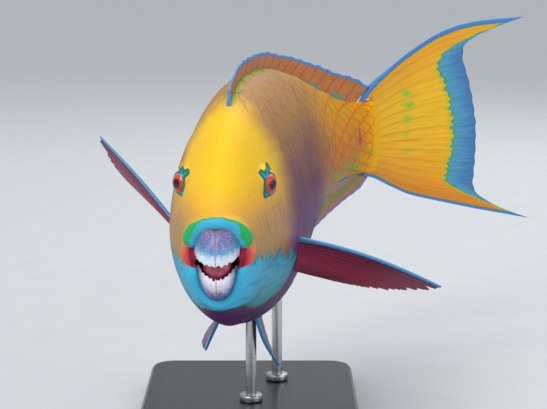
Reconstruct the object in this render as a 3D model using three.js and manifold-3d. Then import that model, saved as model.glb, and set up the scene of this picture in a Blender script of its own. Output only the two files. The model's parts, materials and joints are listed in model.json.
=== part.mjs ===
// A parrotfish, a large male with an orange head and a yellow crescent tail, as a life-size model.
// It swims with its tail swept to its left side, and rests on a plain stand of a base and two rods.
// Millimetres, +Z up. The fish looks along -Y, so its left side is at +X.
import * as THREE from "three";
import { mergeVertices } from "three/addons/utils/BufferGeometryUtils.js";
import Module from "manifold-3d";

const wasm = await Module();
wasm.setup();

const degrees = THREE.MathUtils.degToRad;
const lerp = THREE.MathUtils.lerp;
const smooth = (x, from, to) => THREE.MathUtils.smoothstep(x, from, to);

// Driving dimensions. A station is a share of the standard length, from the snout back.
const LENGTH = 310; // snout to the root of the tail fin
const GAP = 0.3; // between pieces that touch
const NOSE_DOWN = degrees(5);
const BODY_END = 1.03;
const COLUMNS = 44; // faces round the body

// The body's side outline and plan, each a share of the length at a station.
const STATIONS = [0, 0.02, 0.05, 0.1, 0.18, 0.28, 0.4, 0.52, 0.64, 0.76, 0.88, 0.95, BODY_END];
const BACK = [0, 0.049, 0.083, 0.125, 0.168, 0.199, 0.2145, 0.209, 0.181, 0.135, 0.09, 0.08, 0.086];
const KEEL = [0, 0.058, 0.083, 0.114, 0.15, 0.186, 0.21, 0.195, 0.15, 0.091, 0.063, 0.068, 0.08];
const SIDE = [0, 0.036, 0.052, 0.068, 0.084, 0.101, 0.108, 0.096, 0.074, 0.048, 0.027, 0.018, 0.007];
const BACK_ROUNDNESS = 1.85; // exponent of the section above the mid line, 2 for an ellipse
const BELLY_ROUNDNESS = [1.65, 2]; // the same below: a keeled throat, then a round belly
const BELLY_FULLNESS = 0.16; // how much wider the section is below than above

// The swimming curve, seen from above: the heading of the spine at each station.
const HEAD_YAW = degrees(2);
const BODY_BEND = { turn: degrees(36), from: 0.066, to: 1.053 };
const TAIL_BEND = { turn: degrees(24), from: 0.88, to: 1.24 };

// Where the body is parted.
const GILL_STATION = 0.335; // rear edge of the gill cover, half way up the side
const NAPE_STATION = 0.23; // the same edge at the back and the throat
const TAIL_STALK_STATION = 0.83;
const GILL_STEP = 1.5; // the gill cover's free edge stands this far off the flank

// Scales of the flank.
const SCALE_ROWS = 16;
const STALK_SCALE_ROWS = 6;
const SCALE_RELIEF = 0.8;

// Eyes, nostrils and jaws.
const EYE_STATION = 0.19;
const EYE_HEIGHT = 27;
const EYEBALL_RADIUS = 6.4;
const EYE_BULGE = 4.6; // of the eyeball's front off the head
const EYE_TURN = degrees(30); // how far the eye looks forward from straight out
const BROW = { across: 9.4, bulge: 2.9 }; // the raised skin round the eye
const NOSTRIL = { left: 13.5, up: 26, radius: 1 };
// The beak is part of an egg behind the mouth, narrower in the lower jaw.
const BEAK_CENTRE = 13;
const BEAK_WALL = 2.4;
const UPPER_JAW = { half: 11.4, reach: 17.5, height: 17.8, square: 0.7 };
const LOWER_JAW = { half: 10.4, reach: 15.6, height: 19.2, square: 0.85 };
const UPPER_EDGE = 0.12; // rise of the cutting edge above the gape, in radians
const LOWER_EDGE = -0.27;
const UPPER_LIP = { half: 14, height: 18.2, radius: 4.4 };
const LOWER_LIP = { half: 11.4, height: 19.6, radius: 3 };
const LIP_SQUARENESS = 0.93;
const CORNER_RADIUS = 4.4;

// The stand.
const BASE = { width: 120, length: 190, height: 12, corner: 12, bevel: 1.5 };
const ROD_RADIUS = 3;
const ROD_STATIONS = [0.45, 0.6];
const SPINE_HEIGHT = 118; // of the snout above the floor
const BALANCE_STATION = 0.44; // the fish's weight lies over the middle of the base here

// Body surface.
const materials = {
  skin: material("#c98a35", 0.45),
  headSkin: material("#eeb02c", 0.42),
  orangeFin: material("#c06a30", 0.5),
  tailFin: material("#e9b40c", 0.5),
  crimsonFin: material("#8c1f4c", 0.5),
  lip: material("#35aac4", 0.4),
  gum: material("#c4375a", 0.35),
  beak: material("#c9cfe6", 0.3),
  eye: material("#d8431f", 0.15),
  base: material("#1d1d1f", 0.35),
  rod: material("#b9bcc0", 0.3, 1),
};

function material(colour, roughness, metalness = 0) {
  return new THREE.MeshStandardMaterial({ color: colour, roughness, metalness });
}

// A smooth curve through knots that never overshoots them.
function curve(x, values) {
  const slope = values.slice(1).map((v, i) => (v - values[i]) / (x[i + 1] - x[i]));
  const tangent = values.map((_, i) => {
    if (i === 0) return slope[0];
    if (i === values.length - 1) return slope[i - 1];
    const [before, after] = [slope[i - 1], slope[i]];
    if (before * after <= 0) return 0;
    const [wide, near] = [x[i + 1] - x[i], x[i] - x[i - 1]];
    const [w1, w2] = [2 * wide + near, wide + 2 * near];
    return (w1 + w2) / (w1 / before + w2 / after);
  });
  return (wanted) => {
    const at = THREE.MathUtils.clamp(wanted, x[0], x.at(-1));
    let i = 0;
    while (i < x.length - 2 && at > x[i + 1]) i++;
    const h = x[i + 1] - x[i];
    const u = (at - x[i]) / h;
    const rise = u * u * (3 - 2 * u);
    return (
      lerp(values[i], values[i + 1], rise) +
      h * u * (1 - u) * ((1 - u) * tangent[i] - u * tangent[i + 1])
    );
  };
}
// The body's curves run along the square root of the station, so that the snout is round.
function outline(values) {
  const drawn = curve(STATIONS.map(Math.sqrt), values);
  return (station) => drawn(Math.sqrt(Math.max(station, 0)));
}
const back = outline(BACK);
const keel = outline(KEEL);
const side = outline(SIDE);

// The spine's heading and place, summed along its length.
const SPINE_STEPS = 640;
const SPINE_END = 1.6;
const heading = (station) =>
  HEAD_YAW +
  BODY_BEND.turn * smooth(station, BODY_BEND.from, BODY_BEND.to) +
  TAIL_BEND.turn * smooth(station, TAIL_BEND.from, TAIL_BEND.to);
const spine = [new THREE.Vector2(0, 0)];
for (let i = 0; i < SPINE_STEPS; i++) {
  const step = SPINE_END / SPINE_STEPS;
  const angle = heading((i + 0.5) * step);
  const next = new THREE.Vector2(Math.sin(angle), Math.cos(angle)).multiplyScalar(step * LENGTH);
  spine.push(next.add(spine[i]));
}

// A point at a station, so far to the fish's left and so far above the spine.
function place(station, left, up) {
  const at = (THREE.MathUtils.clamp(station, 0, SPINE_END) / SPINE_END) * SPINE_STEPS;
  const i = Math.min(Math.floor(at), SPINE_STEPS - 1);
  const on = spine[i].clone().lerp(spine[i + 1], at - i);
  const angle = heading(station);
  return new THREE.Vector3(on.x + left * Math.cos(angle), on.y - left * Math.sin(angle), up);
}

const power = (x, exponent) => Math.sign(x) * Math.abs(x) ** exponent;
const bellyRoundness = (station) => lerp(...BELLY_ROUNDNESS, smooth(station, 0.15, 0.5));

// A point of the skin. The turn is 0 at the fish's left side and a quarter turn at its back.
function skin(station, turn, lift = 0) {
  const at = (s, a) => {
    const above = Math.sin(a) > 0;
    const exponent = 2 / (above ? BACK_ROUNDNESS : bellyRoundness(s));
    const fullness = BELLY_FULLNESS * THREE.MathUtils.clamp(1.15 - s, 0, 1);
    const out = side(s) * power(Math.cos(a), exponent) * (1 - fullness * Math.sin(a));
    const up = (above ? back(s) : keel(s)) * power(Math.sin(a), exponent);
    return place(s, out * LENGTH, up * LENGTH);
  };
  const point = at(station, turn);
  if (lift === 0) return point;
  const [ds, da] = [0.004, 0.04];
  const along = at(Math.max(station + ds, 0), turn).sub(at(Math.max(station - ds, 0.0004), turn));
  const round = at(station, turn + da).sub(at(station, turn - da));
  return point.addScaledVector(along.cross(round).normalize(), lift);
}

// Meshes and solids.
function geometryOf(points, triangles) {
  const flat = new Float32Array(points.flatMap((p) => [p.x, p.y, p.z]));
  return new THREE.BufferGeometry()
    .setAttribute("position", new THREE.BufferAttribute(flat, 3))
    .setIndex(triangles.flat());
}

// A closed body of rings with a point in front of the first and behind the last.
function ringBody(front, rings, rear) {
  const points = [front, ...rings.flat(), rear];
  const count = rings[0].length;
  const triangles = [];
  const at = (ring, i) => 1 + ring * count + (i % count);
  for (let i = 0; i < count; i++) {
    triangles.push([0, at(0, i + 1), at(0, i)]);
    for (let r = 0; r < rings.length - 1; r++) {
      triangles.push([at(r, i), at(r, i + 1), at(r + 1, i + 1)]);
      triangles.push([at(r, i), at(r + 1, i + 1), at(r + 1, i)]);
    }
    triangles.push([points.length - 1, at(rings.length - 1, i), at(rings.length - 1, i + 1)]);
  }
  return geometryOf(points, triangles);
}

// A closed sheet between two faces that share one grid, split alike on both faces.
function sheet(upper, lower) {
  const [rows, columns] = [upper.length, upper[0].length];
  const points = [...upper.flat(), ...lower.flat()];
  const top = (r, c) => r * columns + c;
  const under = (r, c) => rows * columns + top(r, c);
  const triangles = [];
  const quad = (a, b, c, d) => triangles.push([a, b, c], [a, c, d]);
  for (let r = 0; r < rows - 1; r++) {
    for (let c = 0; c < columns - 1; c++) {
      quad(top(r, c), top(r, c + 1), top(r + 1, c + 1), top(r + 1, c));
      triangles.push([under(r, c), under(r + 1, c + 1), under(r, c + 1)]);
      triangles.push([under(r, c), under(r + 1, c), under(r + 1, c + 1)]);
    }
    quad(top(r, 0), top(r + 1, 0), under(r + 1, 0), under(r, 0));
    quad(under(r, columns - 1), under(r + 1, columns - 1), top(r + 1, columns - 1), top(r, columns - 1));
  }
  for (let c = 0; c < columns - 1; c++) {
    quad(under(0, c), under(0, c + 1), top(0, c + 1), top(0, c));
    quad(top(rows - 1, c), top(rows - 1, c + 1), under(rows - 1, c + 1), under(rows - 1, c));
  }
  return geometryOf(points, triangles);
}

function solid(geometry) {
  const bare = geometry.clone();
  bare.deleteAttribute("normal");
  bare.deleteAttribute("uv");
  const merged = mergeVertices(bare, 1e-3);
  const made = new wasm.Manifold(
    new wasm.Mesh({
      numProp: 3,
      vertProperties: merged.attributes.position.array,
      triVerts: new Uint32Array(merged.index.array),
    }),
  );
  return made.volume() < 0 ? solid(flipped(merged)) : made;
}

function flipped(geometry) {
  const index = Array.from(geometry.index.array);
  for (let i = 0; i < index.length; i += 3) [index[i], index[i + 1]] = [index[i + 1], index[i]];
  return geometry.clone().setIndex(index);
}

// The largest closed body of a solid, as a named mesh.
function piece(name, made, look) {
  const bodies = made.decompose().sort((a, b) => b.volume() - a.volume());
  const mesh = bodies[0].getMesh();
  const geometry = new THREE.BufferGeometry()
    .setAttribute("position", new THREE.BufferAttribute(new Float32Array(mesh.vertProperties), 3))
    .setIndex(new THREE.BufferAttribute(new Uint32Array(mesh.triVerts), 1));
  geometry.computeVertexNormals();
  const shown = new THREE.Mesh(geometry, look);
  shown.name = name;
  return shown;
}

const ellipsoid = (x, y, z, across = 24, high = 16) =>
  new THREE.SphereGeometry(1, across, high).scale(x, y, z);

// Flesh.
const turns = Array.from({ length: COLUMNS }, (_, i) => (i / COLUMNS) * 2 * Math.PI);
const gillEdge = (turn) =>
  NAPE_STATION + (GILL_STATION - NAPE_STATION) * (Math.cos(turn) ** 2) ** 0.7;

// The whole body a little swollen, which trims whatever grows from it.
function bodyCutter(lift) {
  const count = 56;
  const end = BODY_END + (1.5 * lift) / LENGTH;
  const rings = Array.from({ length: count }, (_, i) => {
    const station = end * ((i + 1) / count) ** 1.5;
    return turns.map((turn) => skin(station, turn, lift));
  });
  return solid(ringBody(place(0, 0, 0).setY(-lift), rings, place(end, 0, 0)));
}

function headBody() {
  const rings = [];
  const count = 14;
  for (let r = 1; r <= count; r++) {
    const share = (r / count) ** 1.7;
    rings.push(
      turns.map((turn) => {
        const station = share * gillEdge(turn);
        const flare = smooth(station, GILL_STATION - 0.09, GILL_STATION);
        return skin(station, turn, GILL_STEP * flare * Math.cos(turn) ** 2 + 1e-6);
      }),
    );
  }
  return solid(ringBody(place(0, 0, 0), rings, place(NAPE_STATION - 0.03, 0, 0)));
}

// Rings of overlapping scales: each row rises to its scalloped free edge and steps down behind it.
function scaledRings(rows, from, to) {
  const rings = [];
  const relief = (turn) => SCALE_RELIEF * smooth(Math.abs(Math.cos(turn)), 0.12, 0.35);
  for (let row = 0; row <= rows; row++) {
    for (const behind of row === 0 ? [true] : row === rows ? [false] : [false, true]) {
      rings.push(
        turns.map((turn, i) => {
          const inner = row > 0 && row < rows;
          const lobed = inner ? 0.24 * smooth(Math.abs(Math.cos(turn)), 0.15, 0.4) : 0;
          const scallop = (i + row) % 2 === 0 ? lobed : -lobed;
          const share = (row + scallop + (behind && row > 0 ? 0.1 : 0)) / rows;
          const station = lerp(from(turn), to(turn), share);
          return skin(station, turn, behind && inner ? -relief(turn) : 1e-6);
        }),
      );
    }
  }
  return rings;
}

function trunkBody() {
  const start = (turn) => gillEdge(turn) + GAP / LENGTH;
  const rings = scaledRings(SCALE_ROWS, start, () => TAIL_STALK_STATION);
  return solid(
    ringBody(place(NAPE_STATION - 0.03 + GAP / LENGTH, 0, 0), rings, place(TAIL_STALK_STATION, 0, 0)),
  );
}

function tailStalkBody() {
  const start = TAIL_STALK_STATION + GAP / LENGTH;
  const rings = scaledRings(STALK_SCALE_ROWS, () => start, () => BODY_END);
  return solid(ringBody(place(start, 0, 0), rings, place(BODY_END, 0, 0)));
}

// Fins.
const MEMBRANE = 0.32; // half the thickness between rays
const RAY = 0.62; // half the thickness along a ray
const ROOT_RAY = 1.5; // the same at the root

// A fin from a function that places a point by its share across the rays and along them, from a
// little inside the body at 0 to the margin at 1, and from the direction through its thickness.
function fin(rays, rows, at, through, root = ROOT_RAY, spread = 3) {
  const columns = (rays - 1) * spread + 1;
  const faces = [1, -1].map((face) =>
    Array.from({ length: rows + 1 }, (_, r) =>
      Array.from({ length: columns }, (_, c) => {
        const across = c / (columns - 1);
        const along = r / rows;
        const crest = c % spread === 0;
        const half = crest ? lerp(root, RAY * 0.8, Math.sqrt(along)) : lerp(root * 0.8, MEMBRANE, along ** 0.35);
        return at(across, along).addScaledVector(through(across, along), face * half);
      }),
    ),
  );
  return solid(sheet(faces[0], faces[1]));
}

// The direction through a fin that stands in the fish's middle plane.
const sideways = (station) => new THREE.Vector3(Math.cos(heading(station)), -Math.sin(heading(station)), 0);

const DORSAL = { from: 0.252, to: 0.885, spines: 19, sink: 0.02 };
const dorsalLean = curve([0, 0.2, 1], [0.012, 0.045, 0.078]);
const dorsalHeight = curve(
  [0.26, 0.3, 0.38, 0.5, 0.6, 0.66, 0.74, 0.81, 0.88, 0.92, 0.965],
  [0.02, 0.026, 0.029, 0.03, 0.031, 0.036, 0.044, 0.05, 0.052, 0.046, 0.026],
);
function dorsalFin() {
  const station = (across, along) => lerp(DORSAL.from, DORSAL.to, across) + dorsalLean(across) * along;
  const at = (across, along) => {
    const root = lerp(DORSAL.from, DORSAL.to, across);
    const margin = root + dorsalLean(across);
    const low = back(root) - DORSAL.sink;
    const high = back(margin) + dorsalHeight(margin);
    return place(station(across, along), 0, lerp(low, high, along) * LENGTH);
  };
  return fin(DORSAL.spines, 4, at, (across, along) => sideways(station(across, along)), 1.4, 2);
}

const ANAL = { from: 0.62, to: 0.885, rays: 12, sink: 0.02, lean: [0.055, 0.075] };
const analHeight = curve([0, 0.25, 0.56, 0.8, 1], [0.02, 0.052, 0.054, 0.042, 0.02]);
function analFin() {
  const lean = (across) => lerp(ANAL.lean[0], ANAL.lean[1], across);
  const station = (across, along) => lerp(ANAL.from, ANAL.to, across) + lean(across) * along;
  const at = (across, along) => {
    const high = keel(station(across, 0)) - ANAL.sink;
    const low = keel(station(across, 1)) + analHeight(across);
    return place(station(across, along), 0, -lerp(high, low, along) * LENGTH);
  };
  return fin(ANAL.rays, 4, at, (across, along) => sideways(station(across, along)), 1.4, 2);
}

// The tail fin: a crescent whose outer rays sweep out to two long points.
const TAIL = { root: 0.985, rays: 15 };
const upperEdge = curve(
  [0.93, 0.961, 1.017, 1.068, 1.119, 1.165, 1.216, 1.268, 1.324, 1.375],
  [0.076, 0.104, 0.132, 0.157, 0.18, 0.198, 0.21, 0.215, 0.216, 0.216],
);
const lowerEdge = curve(
  [0.93, 0.976, 1.037, 1.089, 1.153, 1.226, 1.285, 1.344, 1.41],
  [0.07, 0.083, 0.113, 0.138, 0.159, 0.181, 0.198, 0.214, 0.232],
);
// The hind margin, by the share of the way from the middle ray to the outermost one.
const SHARES = [0, 0.25, 0.5, 0.65, 0.75, 0.82, 0.88, 0.94, 1];
const upperMargin = {
  station: curve(SHARES, [1.26, 1.25, 1.234, 1.222, 1.222, 1.236, 1.262, 1.31, 1.375]),
  height: curve(SHARES, [0, 0.05, 0.105, 0.14, 0.16, 0.174, 0.186, 0.2, 0.216]),
};
const lowerMargin = {
  station: curve(SHARES, [1.26, 1.262, 1.26, 1.258, 1.263, 1.274, 1.296, 1.336, 1.41]),
  height: curve(SHARES, [0, 0.054, 0.104, 0.134, 0.15, 0.163, 0.178, 0.2, 0.232]),
};
function tailPoint(across, along) {
  const reach = Math.abs(2 * across - 1);
  const up = across > 0.5 ? 1 : -1;
  const [edge, margin] = up > 0 ? [upperEdge, upperMargin] : [lowerEdge, lowerMargin];
  const tip = margin.station(reach);
  const station = lerp(TAIL.root - 0.055 * reach ** 4, tip, along);
  const spread = lerp(reach, margin.height(reach) / edge(tip), along ** 0.9);
  return [station, up * edge(station) * spread];
}
function tailFin() {
  const at = (across, along) => {
    const [station, height] = tailPoint(across, along);
    return place(station, 0, height * LENGTH);
  };
  return fin(TAIL.rays, 8, at, (across, along) => sideways(tailPoint(across, along)[0]), 1.9);
}

// A paired fin, from its root's front and rear points on the skin, the tips of its first and last
// rays, and how round its margin is.
function pairedFin(spec, rows) {
  const rootFront = skin(...spec.rootFront, -spec.sink);
  const rootRear = skin(...spec.rootRear, -spec.sink);
  const tipFront = rootFront.clone().add(new THREE.Vector3(...spec.first));
  const tipRear = rootRear.clone().add(new THREE.Vector3(...spec.last));
  const middle = rootFront.clone().add(new THREE.Vector3(...spec.middle));
  const at = (across, along) => {
    const root = rootFront.clone().lerp(rootRear, across);
    const near = tipFront.clone().lerp(middle, across);
    const tip = near.lerp(middle.clone().lerp(tipRear, across), across);
    const curl = new THREE.Vector3(...spec.curl).multiplyScalar(Math.sin(Math.PI * along) * (1 - across));
    return root.lerp(tip, along).add(curl);
  };
  const through = (across, along) => {
    const d = 0.02;
    const a = at(Math.min(across + d, 1), along).sub(at(Math.max(across - d, 0), along));
    const b = at(across, Math.min(along + d, 1)).sub(at(across, Math.max(along - d, 0)));
    return a.cross(b).normalize();
  };
  return fin(spec.rays, rows, at, through, spec.thick);
}

const PECTORAL_LEFT = {
  rootFront: [0.338, degrees(-14)],
  rootRear: [0.362, degrees(-34)],
  first: [82, 8, -31],
  middle: [60, 33, -44],
  last: [27, 19, -13],
  curl: [0, -2, 4],
  sink: 5,
  rays: 14,
  thick: 1.6,
};
const PECTORAL_RIGHT = {
  rootFront: [0.338, degrees(180 + 17)],
  rootRear: [0.372, degrees(180 + 26)],
  first: [-49, 41, 46],
  middle: [-45, 50, 22],
  last: [-12, 32, 8],
  curl: [1, 0, 1],
  sink: 5,
  rays: 14,
  thick: 1.6,
};
const PELVIC_LEFT = {
  rootFront: [0.35, degrees(-71)],
  rootRear: [0.375, degrees(-76)],
  first: [13, 37, -45],
  middle: [6, 42, -33],
  last: [4, 22, -10],
  curl: [-2, 0, -1],
  sink: 4,
  rays: 6,
  thick: 1.6,
};
const PELVIC_RIGHT = {
  rootFront: [0.35, degrees(180 + 72)],
  rootRear: [0.375, degrees(180 + 79)],
  first: [-11, 38, -37],
  middle: [-18, 48, -36],
  last: [-9, 30, -14],
  curl: [-1, 0, -2],
  sink: 4,
  rays: 6,
  thick: 1.6,
};

// Head details.
// A point of the beak's egg. Angles are taken at its centre: the turn across from straight ahead,
// and the rise above the gape.
function beakPoint(across, rise, inset) {
  const share = smooth(rise, -0.1, 0.06);
  const [half, reach, height, square] = ["half", "reach", "height", "square"].map((key) =>
    lerp(LOWER_JAW[key], UPPER_JAW[key], share),
  );
  const narrow = Math.abs(Math.cos(rise)) ** square;
  return new THREE.Vector3(
    (half - inset) * Math.sin(across) * narrow,
    BEAK_CENTRE - (reach - inset) * Math.cos(across) * narrow,
    (height - inset) * Math.sin(rise),
  ).applyAxisAngle(new THREE.Vector3(0, 0, 1), -HEAD_YAW);
}

// A closed egg inside or outside the beak.
function beakEgg(inset, across, high, dent = () => 0) {
  const rings = [];
  for (let r = 1; r < high; r++) {
    const rise = lerp(-Math.PI / 2, Math.PI / 2, r / high);
    rings.push(
      Array.from({ length: across }, (_, i) => {
        const turn = (i / across) * 2 * Math.PI;
        return beakPoint(turn, rise, inset + dent(turn, rise));
      }),
    );
  }
  const pole = (rise) => beakPoint(0, rise, inset);
  return solid(ringBody(pole(-Math.PI / 2), rings, pole(Math.PI / 2)));
}

// One of the four fused tooth plates, with its pebbled cutting edge.
function beakPlate(side, upper) {
  const [rows, columns] = [5, 9];
  const tooth = (c) => (c % 2 ? 0.02 : -0.02) * (upper ? -1 : 1);
  const edge = (x, c) => (upper ? UPPER_EDGE : lerp(-0.12, LOWER_EDGE, Math.cos(x) ** 2)) + tooth(c);
  const root = upper ? 1.15 : -1.25;
  const wide = upper ? 1.4 : 1.3;
  const grid = (inset) =>
    Array.from({ length: rows + 1 }, (_, r) =>
      Array.from({ length: columns + 1 }, (_, c) => {
        const x = lerp(0, wide, c / columns);
        const point = beakPoint(side * x, lerp(edge(x, c), root, r / rows), inset);
        const seam = new THREE.Vector3((side * GAP) / 2, 0, 0);
        return c === 0 ? point.add(seam) : point;
      }),
    );
  return solid(sheet(grid(0), grid(BEAK_WALL)));
}

// The flesh behind the beak, seen red in the open mouth under a dark gape.
function mouthLining() {
  const gape = (UPPER_EDGE + LOWER_EDGE) / 2 + 0.06;
  const dent = (turn, rise) => 4 * Math.exp(-(((rise - gape) / 0.12) ** 2)) * Math.max(Math.cos(turn), 0);
  return beakEgg(UPPER_JAW.half - LOWER_JAW.half + BEAK_WALL + 1.5 * GAP, 16, 14, dent);
}

// Where the head's skin lies in front of a point so far left and up, found by halving the station.
function skinStation(left, up) {
  let [near, far] = [0.0001, 0.3];
  for (let i = 0; i < 30; i++) {
    const middle = (near + far) / 2;
    const high = (up > 0 ? back(middle) : keel(middle)) * LENGTH;
    const wide = side(middle) * LENGTH * (1 - (BELLY_FULLNESS * up) / high);
    const roundness = up > 0 ? BACK_ROUNDNESS : bellyRoundness(middle);
    const inside = Math.abs(left / wide) ** roundness + Math.abs(up / high) ** roundness < 1;
    if (inside) far = middle;
    else near = middle;
  }
  return far;
}

// The middle of the lips, by the turn round the mouth from the fish's left corner over the top.
function lipLine(turn) {
  const above = smooth(Math.sin(turn), -0.3, 0.3);
  const left = lerp(LOWER_LIP.half, UPPER_LIP.half, above) * power(Math.cos(turn), LIP_SQUARENESS);
  const height = Math.sin(turn) > 0 ? UPPER_LIP.height : LOWER_LIP.height;
  const up = height * power(Math.sin(turn), LIP_SQUARENESS);
  return place(skinStation(left, up), left, up);
}

// A soft roll along part of the lips, with flat ends.
function lipRoll(from, to, count, size) {
  const sides = 8;
  const rings = Array.from({ length: count + 1 }, (_, i) => {
    const turn = lerp(from, to, i / count);
    const along = lipLine(turn + 0.02).sub(lipLine(turn - 0.02)).normalize();
    const ahead = new THREE.Vector3(0, -1, 0);
    const out = along.clone().cross(ahead).normalize();
    const rise = out.clone().cross(along).normalize();
    const centre = lipLine(turn);
    return Array.from({ length: sides }, (_, k) => {
      const a = (k / sides) * 2 * Math.PI;
      return centre
        .clone()
        .addScaledVector(out, Math.cos(a) * size(i / count))
        .addScaledVector(rise, Math.sin(a) * size(i / count) * 0.8);
    });
  });
  const middle = (ring) => ring.reduce((sum, p) => sum.add(p), new THREE.Vector3()).divideScalar(sides);
  return solid(ringBody(middle(rings[0]), rings, middle(rings[count])));
}

function eyeCentre(sign) {
  const turn = Math.asin(EYE_HEIGHT / LENGTH / back(EYE_STATION));
  const on = skin(EYE_STATION, sign > 0 ? turn : Math.PI - turn);
  return on.addScaledVector(eyeAxis(sign), EYE_BULGE - EYEBALL_RADIUS);
}
const eyeAxis = (sign) =>
  new THREE.Vector3(sign * Math.cos(EYE_TURN), -Math.sin(EYE_TURN), 0.12).normalize();

// An egg squashed along the eye's line of sight, about a point on it.
function eyeEgg(sign, forward, across, deep, around, rows) {
  const ball = ellipsoid(across, deep, across, around, rows);
  const turnTo = new THREE.Quaternion().setFromUnitVectors(new THREE.Vector3(0, 1, 0), eyeAxis(sign));
  const centre = eyeCentre(sign).addScaledVector(eyeAxis(sign), forward);
  return solid(ball.applyQuaternion(turnTo).translate(...centre.toArray()));
}
const eyeball = (sign, swell = 0) => eyeEgg(sign, 0, EYEBALL_RADIUS + swell, EYEBALL_RADIUS + swell, 16, 10);
const brow = (sign) => eyeEgg(sign, EYEBALL_RADIUS - EYE_BULGE - 1.5, BROW.across, BROW.bulge + 1.5, 16, 8);

function nostril(sign) {
  const station = skinStation(NOSTRIL.left, NOSTRIL.up);
  const on = place(station, sign * NOSTRIL.left, NOSTRIL.up);
  return solid(ellipsoid(NOSTRIL.radius, 2, NOSTRIL.radius, 8, 6).translate(...on.toArray()));
}

// Assembly.
const fish = new THREE.Group();
const swollen = bodyCutter(1.3 * GAP);

const beakHole = beakEgg(-1.2 * GAP, 24, 16);
let head = headBody();
for (const sign of [1, -1]) head = head.add(brow(sign));
head = head.subtract(beakHole);
for (const sign of [1, -1]) head = head.subtract(eyeball(sign, GAP)).subtract(nostril(sign));

const bulge = (low, high) => (share) => lerp(low, high, Math.sin(Math.PI * share) ** 0.6);
const cornerTop = degrees(20);
const cornerFoot = degrees(-3);
const seam = degrees(1.2);
const rolls = {
  upper_lip: lipRoll(cornerTop, Math.PI - cornerTop, 14, bulge(3.2, UPPER_LIP.radius)),
  lower_lip: lipRoll(Math.PI - cornerFoot, 2 * Math.PI + cornerFoot, 12, bulge(2.4, LOWER_LIP.radius)),
  mouth_corner_left: lipRoll(cornerFoot + seam, cornerTop - seam, 5, bulge(2.6, CORNER_RADIUS)),
  mouth_corner_right: lipRoll(
    Math.PI - cornerTop + seam,
    Math.PI - cornerFoot - seam,
    5,
    bulge(2.6, CORNER_RADIUS),
  ),
};

const fins = {
  dorsal_fin: [dorsalFin(), materials.orangeFin],
  anal_fin: [analFin(), materials.orangeFin],
  tail_fin: [tailFin(), materials.tailFin],
  pectoral_fin_left: [pairedFin(PECTORAL_LEFT, 6), materials.crimsonFin],
  pectoral_fin_right: [pairedFin(PECTORAL_RIGHT, 6), materials.crimsonFin],
  pelvic_fin_left: [pairedFin(PELVIC_LEFT, 5), materials.crimsonFin],
  pelvic_fin_right: [pairedFin(PELVIC_RIGHT, 5), materials.crimsonFin],
};

fish.add(piece("head", head, materials.headSkin));
fish.add(piece("trunk", trunkBody(), materials.skin));
fish.add(piece("tail_stalk", tailStalkBody(), materials.skin));
for (const [name, [made, look]] of Object.entries(fins)) {
  fish.add(piece(name, made.subtract(swollen), look));
}
for (const [name, sign] of [["left", 1], ["right", -1]]) {
  fish.add(piece("eye_" + name, eyeball(sign), materials.eye));
  fish.add(piece("beak_upper_" + name, beakPlate(sign, true), materials.beak));
  fish.add(piece("beak_lower_" + name, beakPlate(sign, false), materials.beak));
}
fish.add(piece("mouth_lining", mouthLining(), materials.gum));
for (const [name, made] of Object.entries(rolls)) {
  const look = name.startsWith("mouth") ? materials.gum : materials.lip;
  fish.add(piece(name, made.subtract(swollen).subtract(beakHole), look));
}

const balance = place(BALANCE_STATION, 0, 0);
fish.rotation.x = NOSE_DOWN;
fish.position.set(-balance.x, -balance.y * Math.cos(NOSE_DOWN), SPINE_HEIGHT);
fish.updateMatrixWorld(true);

// The stand: a base with rounded corners, and rods cut to the belly.
function baseSlab() {
  const { width, length, height, corner, bevel } = BASE;
  const [x, y] = [width / 2 - bevel, length / 2 - bevel];
  const shape = new THREE.Shape();
  shape.moveTo(-x + corner, -y);
  shape.lineTo(x - corner, -y);
  shape.absarc(x - corner, -y + corner, corner, -Math.PI / 2, 0);
  shape.absarc(x - corner, y - corner, corner, 0, Math.PI / 2);
  shape.absarc(-x + corner, y - corner, corner, Math.PI / 2, Math.PI);
  shape.absarc(-x + corner, -y + corner, corner, Math.PI, 1.5 * Math.PI);
  const slab = new THREE.ExtrudeGeometry(shape, {
    depth: height - 2 * bevel,
    bevelThickness: bevel,
    bevelSize: bevel,
    bevelSegments: 1,
    curveSegments: 4,
  });
  return solid(slab.translate(0, 0, bevel));
}

const stand = new THREE.Group();
const worldBody = swollen.transform(fish.matrixWorld.toArray());
const slab = baseSlab();
ROD_STATIONS.forEach((station, i) => {
  const under = place(station, 0, -keel(station) * LENGTH).applyMatrix4(fish.matrixWorld);
  const foot = BASE.height + GAP;
  const top = under.z + ROD_RADIUS;
  const rod = new THREE.CylinderGeometry(ROD_RADIUS, ROD_RADIUS, top - foot, 24).rotateX(Math.PI / 2);
  const made = solid(rod.translate(under.x, under.y, (top + foot) / 2)).subtract(worldBody);
  stand.add(piece("stand_rod_" + ["front", "rear"][i], made, materials.rod));
});
stand.add(piece("stand_base", slab, materials.base));

const model = new THREE.Group();
model.add(fish, stand);
export default model;
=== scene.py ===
"""Looks of a life-size parrotfish model that swims with its tail swept, on a two-rod stand."""

import json
import logging
import math
from collections.abc import Callable, Sequence
from dataclasses import dataclass
from enum import Enum

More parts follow.
